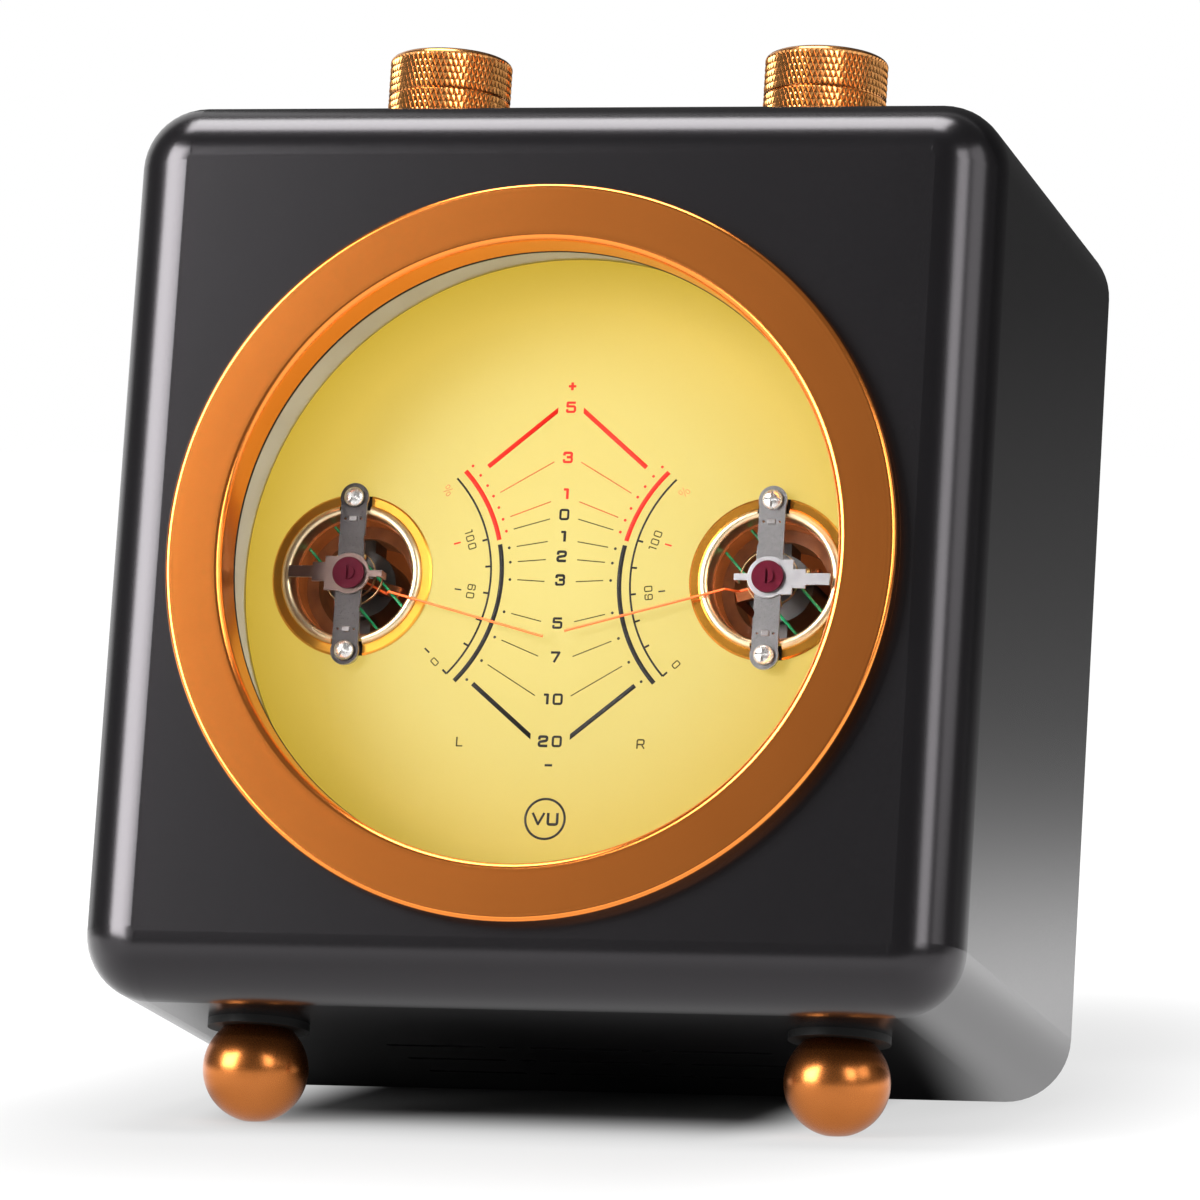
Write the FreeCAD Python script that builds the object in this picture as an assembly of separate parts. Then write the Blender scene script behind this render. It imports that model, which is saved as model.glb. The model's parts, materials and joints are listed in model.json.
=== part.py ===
import FreeCAD, Part
import math
import os

# Analog VU meter: a desk-top case that leans back on two ball feet, with two
# moving-coil movements behind one round back-lit dial and two knobs on top.
#
# Every piece is drawn in the upright case: X to the right, Y from the front
# face into the case, Z up, origin at the middle of the front bottom edge.
# stand_placement() then leans the case back on its feet, puts the lowest points at
# Z = 0 and centres the whole object over the origin.  Millimetres.

# ---------------------------------------------------------------- case
CASE_WIDTH = 116.0
CASE_HEIGHT = 118.8
CASE_DEPTH = 76.4
CASE_WALL = 2.5
CORNER_RADIUS = 8.6
FRONT_RADIUS = 8.0
REAR_EDGE_RADIUS = 0.4
BOSS_RADIUS = 3.2
PILOT_RADIUS = 1.2
BOSS_ROOT = 0.5
PILOT_FLOOR = 4.0

# bottom vents: rows of long and short slots
VENT_FIRST_ROW_Y = 39.2
VENT_ROW_PITCH = 10.8
VENT_ROWS = 3
VENT_WIDTH = 1.3
VENT_LONG = 13.6
VENT_SHORT = 2.4
VENT_GAP = 1.7

# ---------------------------------------------------------------- rear panel
PANEL_THICKNESS = 2.0
PANEL_RECESS = 1.0
PANEL_CLEARANCE = 0.15
PANEL_POST_RADIUS = 4.4
PANEL_POST_LENGTH = 16.0
PANEL_SCREW_LENGTH = 10.0

# ---------------------------------------------------------------- bezel and lens
DIAL_HEIGHT = 57.9
BEZEL_RADIUS = 48.3
BEZEL_RISE = 2.7
BEZEL_CHAMFER = 0.8
BEZEL_BORE_RADIUS = 40.7
NECK_WALL = 2.7
NECK_DEPTH = 3.3
NECK_CLEARANCE = 0.2
GASKET_THICKNESS = 0.8
GASKET_WIDTH = 3.4
GASKET_SETBACK = 0.3
LENS_RADIUS = 45.0
LENS_THICKNESS = 2.0
LENS_CLEARANCE = 0.2

# ---------------------------------------------------------------- drum and dial
DRUM_BORE_RADIUS = 42.75
DRUM_WALL = 2.0
DRUM_LEDGE = 2.2
DRUM_DEPTH = 12.85
DRUM_EAR_GAP = 1.5
DRUM_EAR_THICKNESS = 3.0
DRUM_EAR_MARGIN = 1.0
DRUM_POST_HEIGHT = 6.0
DRUM_SCREW_LENGTH = 7.0
DIAL_FACE_Y = 15.15
DIAL_THICKNESS = 1.5
DIAL_CLEARANCE = 0.3
GUIDE_THICKNESS = 3.0
GUIDE_CLEARANCE = 0.2
BOARD_THICKNESS = 1.2
BOARD_CLEARANCE = 0.5
PILLAR_CLEARANCE = 0.15
LED_GAP = 1.45
LED_SIZE = (3.5, 0.9, 2.8)
LED_COUNT = 14
LED_CIRCLE_RADIUS = 33.0
LED_MARGIN = 3.5
TERMINAL_RADIUS = 0.55
TERMINAL_REACH = 5.0
TERMINAL_SPACING = 6.0
TERMINAL_TAIL = 4.0
TERMINAL_COLLAR_RADIUS = 1.2
TERMINAL_COLLAR_HEIGHT = 0.8
TERMINAL_CLEARANCE = 0.05

# ---------------------------------------------------------------- movements
PIVOT_SPACING = 56.1
EYELET_RADIUS = 10.8
EYELET_BORE_RADIUS = 8.2
EYELET_NECK_WALL = 0.6
EYELET_RISE = 0.85
EYELET_NECK_DEPTH = 2.2
EYELET_CLEARANCE = 0.1
EYELET_LIP_WIDTH = 0.85
EYELET_LIP_STEP = 0.2
EYELET_EDGE = 0.3
EYELET_NOTCH_MARGIN = 0.6
BRIDGE_SCREW_REACH = 10.2
BRIDGE_WIDTH = 3.5
BRIDGE_END_RADIUS = 1.9
BRIDGE_BOSS_RADIUS = 2.2
BRIDGE_THICKNESS = 0.4
BRIDGE_RISE = 1.0
BRIDGE_SCREW_LENGTH = 4.5
BRIDGE_WINDOW = (1.1, 0.7)
BRIDGE_WINDOW_REACH = 7.35
BRIDGE_PIP_RADIUS = 0.15
BRIDGE_PIP_REACH = 1.08
BRIDGE_NOTCH_RADIUS = 0.9
BRIDGE_NOTCH_BITE = 0.18
BRIDGE_NOTCH_REACH = 4.7
PILLAR_RADIUS = 1.5
PILLAR_SHOULDER = 2.6
HOUSING_BORE_RADIUS = 8.0
HOUSING_WALL = 0.55
HOUSING_FRONT_GAP = 0.15
HOUSING_LENGTH = 15.2
HOUSING_FLOOR = 2.0
HOUSING_CLEARANCE = 0.1
FLANGE_WIDTH = 2.4
FLANGE_THICKNESS = 1.5
YOKE_WALL = 1.6
YOKE_SETBACK = 1.2
CORE_RADIUS = 4.4
CORE_LENGTH = 8.2
CORE_LUG_WIDTH = 1.6
CORE_LUG_FRONT = 2.0
CORE_LUG_BACK = 1.0
CORE_FRONT_Y = 20.4
COIL_GAP = 0.35
COIL_SECTION = 1.1
COIL_WIDTH = 1.6
COIL_END_GAP = 0.5
COIL_CORNER = 0.5
STAFF_RADIUS = 0.35
RUNNING_GAP = 0.05
HUB_RADIUS = 0.8
HUB_RISE = 0.45
REAR_HUB_LENGTH = 0.2
STAFF_POINT = 0.3
STAFF_END_GAP = 0.1
JEWEL_DISC_RADIUS = 2.1
JEWEL_DISC_THICKNESS = 0.45
JEWEL_BOSS_RADIUS = 0.9
JEWEL_BOSS_HEIGHT = 0.25
JEWEL_STEM_RADIUS = 0.95
JEWEL_STEM_TAIL = 1.0
JEWEL_CUP_DEPTH = 0.65
JEWEL_EDGE = 0.15
JEWEL_SLOT_WIDTH = 0.35
JEWEL_SLOT_LENGTH = 3.0
LEVER_THICKNESS = 0.3
LEVER_PLAY = 0.03
LEVER_COLLAR_RADIUS = 2.75
LEVER_STEPS = ((3.3, 2.3, 2.3), (5.0, 1.45, 1.08), (8.2, 1.0, 0.56))
LEVER_PLATE_ROOT = 1.5
LEVER_TAB_REACH = 4.5
LEVER_TAB_WIDTH = 0.9
LEVER_TAB_DROP = 1.9
SPRING_INNER_RADIUS = 1.0
SPRING_THICKNESS = 0.12
SPRING_HEIGHT = 0.5
SPRING_SETBACK = 0.05
SPRING_TURNS = 3
SPRING_POINTS_PER_TURN = 24

# ---------------------------------------------------------------- pointers
POINTER_LENGTH = 27.7
POINTER_RADIUS = 0.16
POINTER_RISE = 1.3
POINTER_ROOT_DROP = 1.3
POINTER_ANGLE = -15.2
POINTER_CRANK_IN = 4.7
POINTER_CRANK_OUT = 5.9
POINTER_OFFSET_LEFT = 0.8
POINTER_OFFSET_RIGHT = 0.0
ARM_LENGTH = 3.3
ARM_RADIUS = 0.2
WEIGHT_RADIUS = 0.45
WEIGHT_LENGTH = 1.2
TAIL_LENGTH = 5.0
TAIL_WEIGHT_RADIUS = 0.7
TAIL_WEIGHT_LENGTH = 1.8
WIRE_RADIUS = 0.2
WIRE_OFFSET = 2.2
WIRE_SLANT = -47.0
WIRE_BITE = 0.05

# ---------------------------------------------------------------- knobs and controls
KNOB_SPACING = 51.8
KNOB_RADIUS = 8.25
KNOB_HEIGHT = 14.4
KNOB_GAP = 0.5
KNOB_CHAMFER = 0.7
KNOB_BASE_CHAMFER = 0.3
KNOB_SETBACK = 0.1
KNOB_GROOVE_HEIGHT = 8.8
KNOB_GROOVE_WIDTH = 0.35
KNOB_GROOVE_DEPTH = 0.3
KNOB_RECESS_RADIUS = 6.7
KNOB_RECESS_HEIGHT = 3.2
SHAFT_RADIUS = 3.0
SHAFT_FLAT = 1.5
SHAFT_LENGTH = 12.0
SHAFT_END_GAP = 0.2
BUSHING_RADIUS = 3.5
BUSHING_LENGTH = 5.0
BUSHING_CLEARANCE = 0.1
POT_RADIUS = 8.2
POT_HEIGHT = 9.0
POT_FLOOR = 2.0
POT_TAG = (1.2, 6.5, 0.5)
POT_TAG_PITCH = 5.0
NUT_ACROSS_FLATS = 10.0
NUT_HEIGHT = 2.0
WASHER_RADIUS = 5.9
WASHER_THICKNESS = 0.5
GRUB_RADIUS = 1.5
GRUB_LENGTH = 4.0
GRUB_HEIGHT = 5.6
GRUB_HEX = 1.5

# ---------------------------------------------------------------- board and sockets
BOARD_SIZE = (86.0, 30.0, 1.6)
BOARD_HEIGHT = 8.0
BOARD_HOLE_INSET = 4.5
BOARD_GAP = 0.5
BOARD_SCREW_LENGTH = 6.5
CHIP_SIZE = (5.0, 4.0, 1.6)
CHIP_PLACES = (-22.0, 0.0)
CAPACITOR_RADIUS = 3.2
CAPACITOR_HEIGHT = 8.0
CAPACITOR_PLACES = (-11.0, 10.0, 18.0)
BOARD_PART_SETBACK = 8.0
SOCKET_SPACING = 15.0
SOCKET_X = -18.0
SOCKET_SHELL_RADIUS = 4.15
SOCKET_SHELL_WALL = 0.5
SOCKET_COLLAR_RADIUS = 5.0
SOCKET_COLLAR_RISE = 1.0
SOCKET_PROTRUSION = 9.0
SOCKET_BORE_RADIUS = 1.65
SOCKET_BORE_FLOOR = 10.0
SOCKET_SETBACK = 1.5
SOCKET_BLOCK = (29.0, 11.0, 13.0)
POWER_X = 22.0
POWER_BLOCK = (9.0, 12.0, 11.0)
POWER_NOSE_RADIUS = 4.0
POWER_BORE_RADIUS = 3.1
POWER_PIN_RADIUS = 1.05
POWER_BORE_DEPTH = 9.5
POWER_NOSE_PROUD = 0.5
POWER_PIN_SETBACK = 1.0
PANEL_HOLE_CLEARANCE = 0.15

# ---------------------------------------------------------------- feet and screws
FOOT_RADIUS = 6.88
FOOT_INSET = 19.2
FOOT_Y = 22.5
FOOT_DROP = 6.2
FOOT_FLAT_RADIUS = 1.6
FOOT_WASHER_RADIUS = 6.65
FOOT_WASHER_THICKNESS = 1.0
FOOT_SCREW_BITE = 1.0
FOOT_HOLE_BITE = 2.0
M3_RADIUS = 1.5
M3_HOLE_RADIUS = 1.7
M3_HEAD_RADIUS = 2.8
M3_HEAD_HEIGHT = 1.8
M3_RECESS_WIDTH = 0.7
SMALL_SCREW_RADIUS = 0.8
SMALL_HEAD_RADIUS = 1.32
SMALL_HEAD_HEIGHT = 0.85
SMALL_RECESS_WIDTH = 0.35
HEAD_CROWN_SHARE = 0.4
RECESS_REACH_SHARE = 0.62
THREAD_GAP = 0.02

# ---------------------------------------------------------------- modelling allowances
# OVERCUT: how far a cutting shape reaches past the face it cuts.
# JOIN: how far two shapes of one solid run into each other.
OVERCUT = 1.0
JOIN = 0.1

# ---------------------------------------------------------------- derived places
HOUSING_RADIUS = HOUSING_BORE_RADIUS + HOUSING_WALL
EYELET_HOLE_RADIUS = EYELET_BORE_RADIUS + EYELET_NECK_WALL + EYELET_CLEARANCE
INNER_HALF_WIDTH = CASE_WIDTH / 2 - CASE_WALL
OPENING_RADIUS = BEZEL_BORE_RADIUS + NECK_WALL + NECK_CLEARANCE
LENS_Y = NECK_DEPTH + GASKET_THICKNESS
DIAL_BACK_Y = DIAL_FACE_Y + DIAL_THICKNESS
GUIDE_BACK_Y = DIAL_BACK_Y + GUIDE_THICKNESS
LED_BOARD_Y = GUIDE_BACK_Y + LED_GAP + LED_SIZE[1]
LED_BOARD_BACK_Y = LED_BOARD_Y + BOARD_THICKNESS
DRUM_BACK_Y = DIAL_FACE_Y + DRUM_DEPTH
BRIDGE_BACK_Y = DIAL_FACE_Y - BRIDGE_RISE
BRIDGE_FRONT_Y = BRIDGE_BACK_Y - BRIDGE_THICKNESS
LEVER_BACK_Y = BRIDGE_FRONT_Y - LEVER_PLAY
LEVER_FRONT_Y = LEVER_BACK_Y - LEVER_THICKNESS
JEWEL_BACK_Y = LEVER_FRONT_Y - LEVER_PLAY
JEWEL_STEM_END_Y = BRIDGE_BACK_Y + JEWEL_STEM_TAIL
JEWEL_CUP_Y = JEWEL_STEM_END_Y - JEWEL_CUP_DEPTH
HOUSING_Y = DIAL_FACE_Y + EYELET_NECK_DEPTH + HOUSING_FRONT_GAP
HOUSING_BACK_Y = HOUSING_Y + HOUSING_LENGTH
CORE_BACK_Y = CORE_FRONT_Y + CORE_LENGTH
COIL_FRONT_Y = CORE_FRONT_Y - COIL_END_GAP - COIL_SECTION
COIL_BACK_Y = CORE_BACK_Y + COIL_END_GAP + COIL_SECTION
COIL_REACH = CORE_RADIUS + COIL_GAP + COIL_SECTION
POINTER_Y = DIAL_FACE_Y - POINTER_RISE
POINTER_ROOT_Y = LEVER_BACK_Y + LEVER_TAB_DROP + POINTER_ROOT_DROP
HOUSING_FLOOR_Y = HOUSING_BACK_Y - HOUSING_FLOOR
WIRE_Y = (POINTER_ROOT_Y + COIL_FRONT_Y) / 2 + WIRE_RADIUS / 2
PANEL_Y = CASE_DEPTH - PANEL_RECESS - PANEL_THICKNESS
PANEL_REAR_Y = CASE_DEPTH - PANEL_RECESS
BOARD_Y = PANEL_Y - BOARD_SIZE[1] - BOARD_GAP
BOARD_TOP = BOARD_HEIGHT + BOARD_SIZE[2]
DRUM_EAR_Y = CASE_WALL + DRUM_POST_HEIGHT
LENS_SEAT_RADIUS = LENS_RADIUS + LENS_CLEARANCE
DRUM_RADIUS = LENS_SEAT_RADIUS + DRUM_WALL
DRUM_EAR_REACH = DRUM_RADIUS + M3_HEAD_RADIUS + DRUM_EAR_GAP
LIGHT_BORE_RADIUS = DRUM_BORE_RADIUS - DRUM_LEDGE
KNOB_Y = CASE_DEPTH / 2 - KNOB_SETBACK
KNOB_BASE = CASE_HEIGHT + KNOB_GAP
TOP_INSIDE = CASE_HEIGHT - CASE_WALL
POT_BASE = TOP_INSIDE - POT_HEIGHT
SOCKET_END_Y = PANEL_REAR_Y + SOCKET_PROTRUSION
SIDES = {"left": -1, "right": 1}
DIAGONALS = (45, 135, 225, 315)


# ---------------------------------------------------------------- helpers
def vec(x, y, z):
    return FreeCAD.Vector(x, y, z)


def rod_y(radius, y_from, y_to, x=0.0, z=DIAL_HEIGHT):
    """Cylinder along Y, the axis that runs into the case."""
    return Part.makeCylinder(radius, y_to - y_from, vec(x, y_from, z), vec(0, 1, 0))


def tube_y(outer, inner, y_from, y_to, x=0.0, z=DIAL_HEIGHT):
    hole = rod_y(inner, y_from - OVERCUT, y_to + OVERCUT, x, z)
    return rod_y(outer, y_from, y_to, x, z).cut(hole)


def rod_z(radius, z_from, z_to, x, y):
    return Part.makeCylinder(radius, z_to - z_from, vec(x, y, z_from), vec(0, 0, 1))


def block(x_from, x_to, y_from, y_to, z_from, z_to):
    size = (x_to - x_from, y_to - y_from, z_to - z_from)
    return Part.makeBox(*size, vec(x_from, y_from, z_from))


def turned(profile, x=0.0, z=DIAL_HEIGHT):
    """Solid of revolution about Y from (radius, y) points."""
    points = [vec(radius, y, 0) for radius, y in profile]
    face = Part.Face(Part.makePolygon(points + points[:1]))
    solid = face.revolve(vec(0, 0, 0), vec(0, 1, 0), 360)
    return solid.translated(vec(x, 0, z))


def turned_z(profile, x, y, z):
    """Solid of revolution about Z from (radius, height) points."""
    points = [vec(radius, 0, height) for radius, height in profile]
    face = Part.Face(Part.makePolygon(points + points[:1]))
    solid = face.revolve(vec(0, 0, 0), vec(0, 0, 1), 360)
    return solid.translated(vec(x, y, z))


def wire_between(points, radius):
    """Round wire through straight runs, with a ball at each bend."""
    runs = []
    for start, end in zip(points, points[1:]):
        along = end - start
        runs.append(Part.makeCylinder(radius, along.Length, start, along))
    bends = [Part.makeSphere(radius, point) for point in points[1:-1]]
    return runs[0].multiFuse(runs[1:] + bends)


def polar(radius, degrees, y, x=0.0):
    """Point at a radius and angle about a movement's axis, seen from the front."""
    angle = math.radians(degrees)
    return vec(x + radius * math.cos(angle), y, DIAL_HEIGHT + radius * math.sin(angle))


def turn_about_pivot(shape, degrees, x):
    """Turn a shape about a movement's axis, anticlockwise as seen from the front."""
    return shape.rotated(vec(x, 0, DIAL_HEIGHT), vec(0, -1, 0), degrees)


def group(solids):
    return Part.makeCompound(solids)


def pan_screw(radius, length, head_radius, head_height, recess_width):
    """Pan-head screw along +Z: head from 0 up, shank from 0 down."""
    crown = head_height * HEAD_CROWN_SHARE
    head = turned_z([(0, 0), (head_radius, 0), (head_radius, head_height - crown),
                     (head_radius - crown, head_height), (0, head_height)], 0, 0, 0)
    shank = Part.makeCylinder(radius, length, vec(0, 0, -length))
    half = head_radius * RECESS_REACH_SHARE
    slot = block(-half, half, -recess_width / 2, recess_width / 2, crown, head_height + OVERCUT)
    cross = slot.fuse(slot.rotated(vec(0, 0, 0), vec(0, 0, 1), 90))
    return head.fuse(shank).cut(cross).removeSplitter()


def aimed(shape, place, direction):
    """Point a +Z shape along a direction and put its origin at a place."""
    turn = FreeCAD.Rotation(vec(0, 0, 1), direction)
    placed = shape.copy()
    placed.Placement = FreeCAD.Placement(place, turn)
    return placed


def pivot_x(side):
    return SIDES[side] * PIVOT_SPACING / 2


def knob_x(side):
    return SIDES[side] * KNOB_SPACING / 2


def foot_x(side):
    return SIDES[side] * (CASE_WIDTH / 2 - FOOT_INSET)


def edges_along(shape, direction):
    """Straight edges of a shape that run along a direction."""
    edges = []
    for edge in shape.Edges:
        run = edge.Vertexes[-1].Point - edge.Vertexes[0].Point
        if run.Length > 0 and run.cross(direction).Length < 1e-6:
            edges.append(edge)
    return edges


def edges_at_y(shape, y):
    near = 1e-4
    return [edge for edge in shape.Edges
            if abs(edge.BoundBox.YMin - y) < near and abs(edge.BoundBox.YMax - y) < near]


def rounded_box(half_width, y_from, y_to, z_from, z_to, corner, front):
    """Box with rounded long edges and a rounded front rim."""
    body = block(-half_width, half_width, y_from, y_to, z_from, z_to)
    body = body.makeFillet(corner, edges_along(body, vec(0, 1, 0)))
    if front > 0:
        body = body.makeFillet(front, edges_at_y(body, y_from))
    return body


# ---------------------------------------------------------------- case pieces
def drum_ear_places():
    """The four screw places round the drum, on the diagonals."""
    return [polar(DRUM_EAR_REACH, degrees, 0) for degrees in DIAGONALS]


def panel_post_places():
    inset = CASE_WALL + PANEL_POST_RADIUS
    x = CASE_WIDTH / 2 - inset
    heights = (inset, CASE_HEIGHT - inset)
    return [vec(side * x, 0, z) for side in (-1, 1) for z in heights]


def board_screw_places():
    x = BOARD_SIZE[0] / 2 - BOARD_HOLE_INSET
    depths = (BOARD_Y + BOARD_HOLE_INSET, BOARD_Y + BOARD_SIZE[1] - BOARD_HOLE_INSET)
    return [vec(side * x, y, BOARD_TOP) for side in (-1, 1) for y in depths]


def vent_slots():
    lengths = (VENT_LONG, VENT_SHORT, VENT_LONG, VENT_SHORT, VENT_LONG)
    slots = []
    for row in range(VENT_ROWS):
        y = VENT_FIRST_ROW_Y + row * VENT_ROW_PITCH
        x = -(sum(lengths) + VENT_GAP * (len(lengths) - 1)) / 2
        for length in lengths:
            slots.append(vent_slot(x, x + length, y))
            x += length + VENT_GAP
    return slots


def vent_slot(x_from, x_to, y):
    radius = VENT_WIDTH / 2
    low, high = -OVERCUT, CASE_WALL + OVERCUT
    ends = [rod_z(radius, low, high, x, y) for x in (x_from + radius, x_to - radius)]
    middle = block(x_from + radius, x_to - radius, y - radius, y + radius, low, high)
    return middle.multiFuse(ends)


def case_bosses():
    """Cast posts: rear panel corners, drum ears and circuit board."""
    posts = [rod_y(PANEL_POST_RADIUS, PANEL_Y - PANEL_POST_LENGTH, PANEL_Y, place.x, place.z)
             for place in panel_post_places()]
    posts += [rod_y(BOSS_RADIUS, CASE_WALL - BOSS_ROOT, DRUM_EAR_Y, place.x, place.z)
              for place in drum_ear_places()]
    posts += [rod_z(BOSS_RADIUS, CASE_WALL - BOSS_ROOT, BOARD_HEIGHT, place.x, place.y)
              for place in board_screw_places()]
    return posts


def case_pilot_holes():
    radius, depth = PILOT_RADIUS + THREAD_GAP, PANEL_POST_LENGTH - PILOT_FLOOR
    holes = [rod_y(radius, PANEL_Y - depth, PANEL_Y + OVERCUT, place.x, place.z)
             for place in panel_post_places()]
    holes += [rod_y(radius, CASE_WALL, DRUM_EAR_Y + OVERCUT, place.x, place.z)
              for place in drum_ear_places()]
    holes += [rod_z(radius, CASE_WALL, BOARD_HEIGHT + OVERCUT, place.x, place.y)
              for place in board_screw_places()]
    return holes


def case_shell():
    outer = rounded_box(CASE_WIDTH / 2, 0, CASE_DEPTH, 0, CASE_HEIGHT, CORNER_RADIUS, FRONT_RADIUS)
    outer = outer.makeFillet(REAR_EDGE_RADIUS, edges_at_y(outer, CASE_DEPTH))
    inner = rounded_box(INNER_HALF_WIDTH, CASE_WALL, CASE_DEPTH + OVERCUT, CASE_WALL, TOP_INSIDE,
                        CORNER_RADIUS - CASE_WALL, FRONT_RADIUS - CASE_WALL)
    shell = outer.cut(inner).multiFuse(case_bosses())
    opening = rod_y(OPENING_RADIUS, -OVERCUT, CASE_WALL + OVERCUT)
    bushings = [rod_z(BUSHING_RADIUS + BUSHING_CLEARANCE, TOP_INSIDE - OVERCUT, CASE_HEIGHT + OVERCUT,
                      knob_x(side), KNOB_Y) for side in SIDES]
    foot_holes = [rod_z(M3_HOLE_RADIUS, -OVERCUT, CASE_WALL + OVERCUT, foot_x(side), FOOT_Y)
                  for side in SIDES]
    cuts = [opening] + bushings + foot_holes + vent_slots() + case_pilot_holes()
    return shell.cut(group(cuts)).removeSplitter()


def rear_panel():
    half_width = INNER_HALF_WIDTH - PANEL_CLEARANCE
    low, high = CASE_WALL + PANEL_CLEARANCE, TOP_INSIDE - PANEL_CLEARANCE
    corner = CORNER_RADIUS - CASE_WALL - PANEL_CLEARANCE
    plate = rounded_box(half_width, PANEL_Y, PANEL_REAR_Y, low, high, corner, 0)
    start, end = PANEL_Y - OVERCUT, PANEL_REAR_Y + OVERCUT
    cuts = [rod_y(M3_HOLE_RADIUS, start, end, place.x, place.z) for place in panel_post_places()]
    cuts += [rod_y(SOCKET_COLLAR_RADIUS + PANEL_HOLE_CLEARANCE, start, end, x, socket_z())
             for x in socket_places()]
    cuts.append(rod_y(POWER_NOSE_RADIUS + PANEL_HOLE_CLEARANCE, start, end, POWER_X, power_z()))
    return plate.cut(group(cuts))


def panel_screw_set():
    screw = pan_screw(PILOT_RADIUS, PANEL_SCREW_LENGTH, M3_HEAD_RADIUS, M3_HEAD_HEIGHT, M3_RECESS_WIDTH)
    return group([aimed(screw, vec(place.x, PANEL_REAR_Y, place.z), vec(0, 1, 0))
                  for place in panel_post_places()])


# ---------------------------------------------------------------- bezel, lens, drum
def bezel_ring():
    front = -BEZEL_RISE
    rim = BEZEL_CHAMFER
    neck = BEZEL_BORE_RADIUS + NECK_WALL
    return turned([(BEZEL_BORE_RADIUS, NECK_DEPTH), (BEZEL_BORE_RADIUS, front + rim),
                   (BEZEL_BORE_RADIUS + rim, front), (BEZEL_RADIUS - rim, front),
                   (BEZEL_RADIUS, front + rim), (BEZEL_RADIUS, 0),
                   (neck, 0), (neck, NECK_DEPTH)])


def lens_gasket():
    inner = BEZEL_BORE_RADIUS + GASKET_SETBACK
    return tube_y(inner + GASKET_WIDTH, inner, NECK_DEPTH, LENS_Y)


def lens():
    return rod_y(LENS_RADIUS, LENS_Y, LENS_Y + LENS_THICKNESS)


def pillar_places():
    return [vec(pivot_x(side), 0, DIAL_HEIGHT + end * BRIDGE_SCREW_REACH)
            for side in SIDES for end in (-1, 1)]


def drum_pillars():
    pillars = []
    for place in pillar_places():
        foot = rod_y(PILLAR_SHOULDER, LED_BOARD_BACK_Y, DRUM_BACK_Y - BOSS_ROOT, place.x, place.z)
        post = rod_y(PILLAR_RADIUS, BRIDGE_BACK_Y, DRUM_BACK_Y - BOSS_ROOT, place.x, place.z)
        pillars += [foot, post]
    return pillars


def drum_ears():
    front, back = DRUM_EAR_Y, DRUM_EAR_Y + DRUM_EAR_THICKNESS
    half = BOSS_RADIUS + DRUM_EAR_MARGIN
    pad = rod_y(half, front, back, DRUM_EAR_REACH)
    tongue = block(LENS_RADIUS, DRUM_EAR_REACH, front, back, DIAL_HEIGHT - half, DIAL_HEIGHT + half)
    ear = pad.fuse(tongue)
    return [turn_about_pivot(ear, degrees, 0) for degrees in DIAGONALS]


def meter_drum():
    """Cup that holds lens, dial, light and both movements."""
    rim, back = DRUM_RADIUS, DRUM_BACK_Y
    shoulder, floor = LENS_Y + LENS_THICKNESS, DRUM_BACK_Y - DRUM_WALL
    cup = turned([(LENS_SEAT_RADIUS, CASE_WALL), (rim, CASE_WALL), (rim, back), (0, back), (0, floor),
                  (LIGHT_BORE_RADIUS, floor), (LIGHT_BORE_RADIUS, DIAL_BACK_Y),
                  (DRUM_BORE_RADIUS, DIAL_BACK_Y), (DRUM_BORE_RADIUS, shoulder),
                  (LENS_SEAT_RADIUS, shoulder)])
    cup = cup.multiFuse(drum_pillars() + drum_ears())
    cuts = [rod_y(HOUSING_RADIUS + HOUSING_CLEARANCE, DIAL_BACK_Y, back + OVERCUT, pivot_x(side))
            for side in SIDES]
    cuts += [rod_y(SMALL_SCREW_RADIUS + THREAD_GAP, BRIDGE_BACK_Y - OVERCUT,
                   BRIDGE_BACK_Y + BRIDGE_SCREW_LENGTH + OVERCUT, place.x, place.z)
             for place in pillar_places()]
    cuts += [rod_y(M3_HOLE_RADIUS, DRUM_EAR_Y - OVERCUT, DRUM_EAR_Y + DRUM_EAR_THICKNESS + OVERCUT,
                   place.x, place.z) for place in drum_ear_places()]
    cuts += [rod_y(TERMINAL_RADIUS + TERMINAL_CLEARANCE, floor - OVERCUT, back + OVERCUT, x, z)
             for x, z in terminal_places()]
    return cup.cut(group(cuts)).removeSplitter()


def terminal_places():
    """Four terminal pins through the drum's back, two beside each movement."""
    reach = HOUSING_RADIUS + TERMINAL_REACH
    return [(pivot_x(side) - SIDES[side] * reach, DIAL_HEIGHT + end * TERMINAL_SPACING / 2)
            for side in SIDES for end in (-1, 1)]


def terminal_pins():
    pins = []
    for x, z in terminal_places():
        pin = rod_y(TERMINAL_RADIUS, LED_BOARD_BACK_Y + BOARD_CLEARANCE, DRUM_BACK_Y + TERMINAL_TAIL, x, z)
        collar = rod_y(TERMINAL_COLLAR_RADIUS, DRUM_BACK_Y, DRUM_BACK_Y + TERMINAL_COLLAR_HEIGHT, x, z)
        pins.append(pin.fuse(collar))
    return group(pins)


def drum_screws():
    screw = pan_screw(PILOT_RADIUS, DRUM_SCREW_LENGTH, M3_HEAD_RADIUS, M3_HEAD_HEIGHT, M3_RECESS_WIDTH)
    y = DRUM_EAR_Y + DRUM_EAR_THICKNESS
    return group([aimed(screw, vec(place.x, y, place.z), vec(0, 1, 0)) for place in drum_ear_places()])


def pierced_disc(radius, y_from, y_to, hole_radius):
    """Round sheet with the two movement holes and the pillar holes."""
    start, end = y_from - OVERCUT, y_to + OVERCUT
    holes = [rod_y(hole_radius, start, end, pivot_x(side)) for side in SIDES]
    holes += [rod_y(PILLAR_RADIUS + PILLAR_CLEARANCE, start, end, place.x, place.z)
              for place in pillar_places()]
    return rod_y(radius, y_from, y_to).cut(group(holes))


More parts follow.
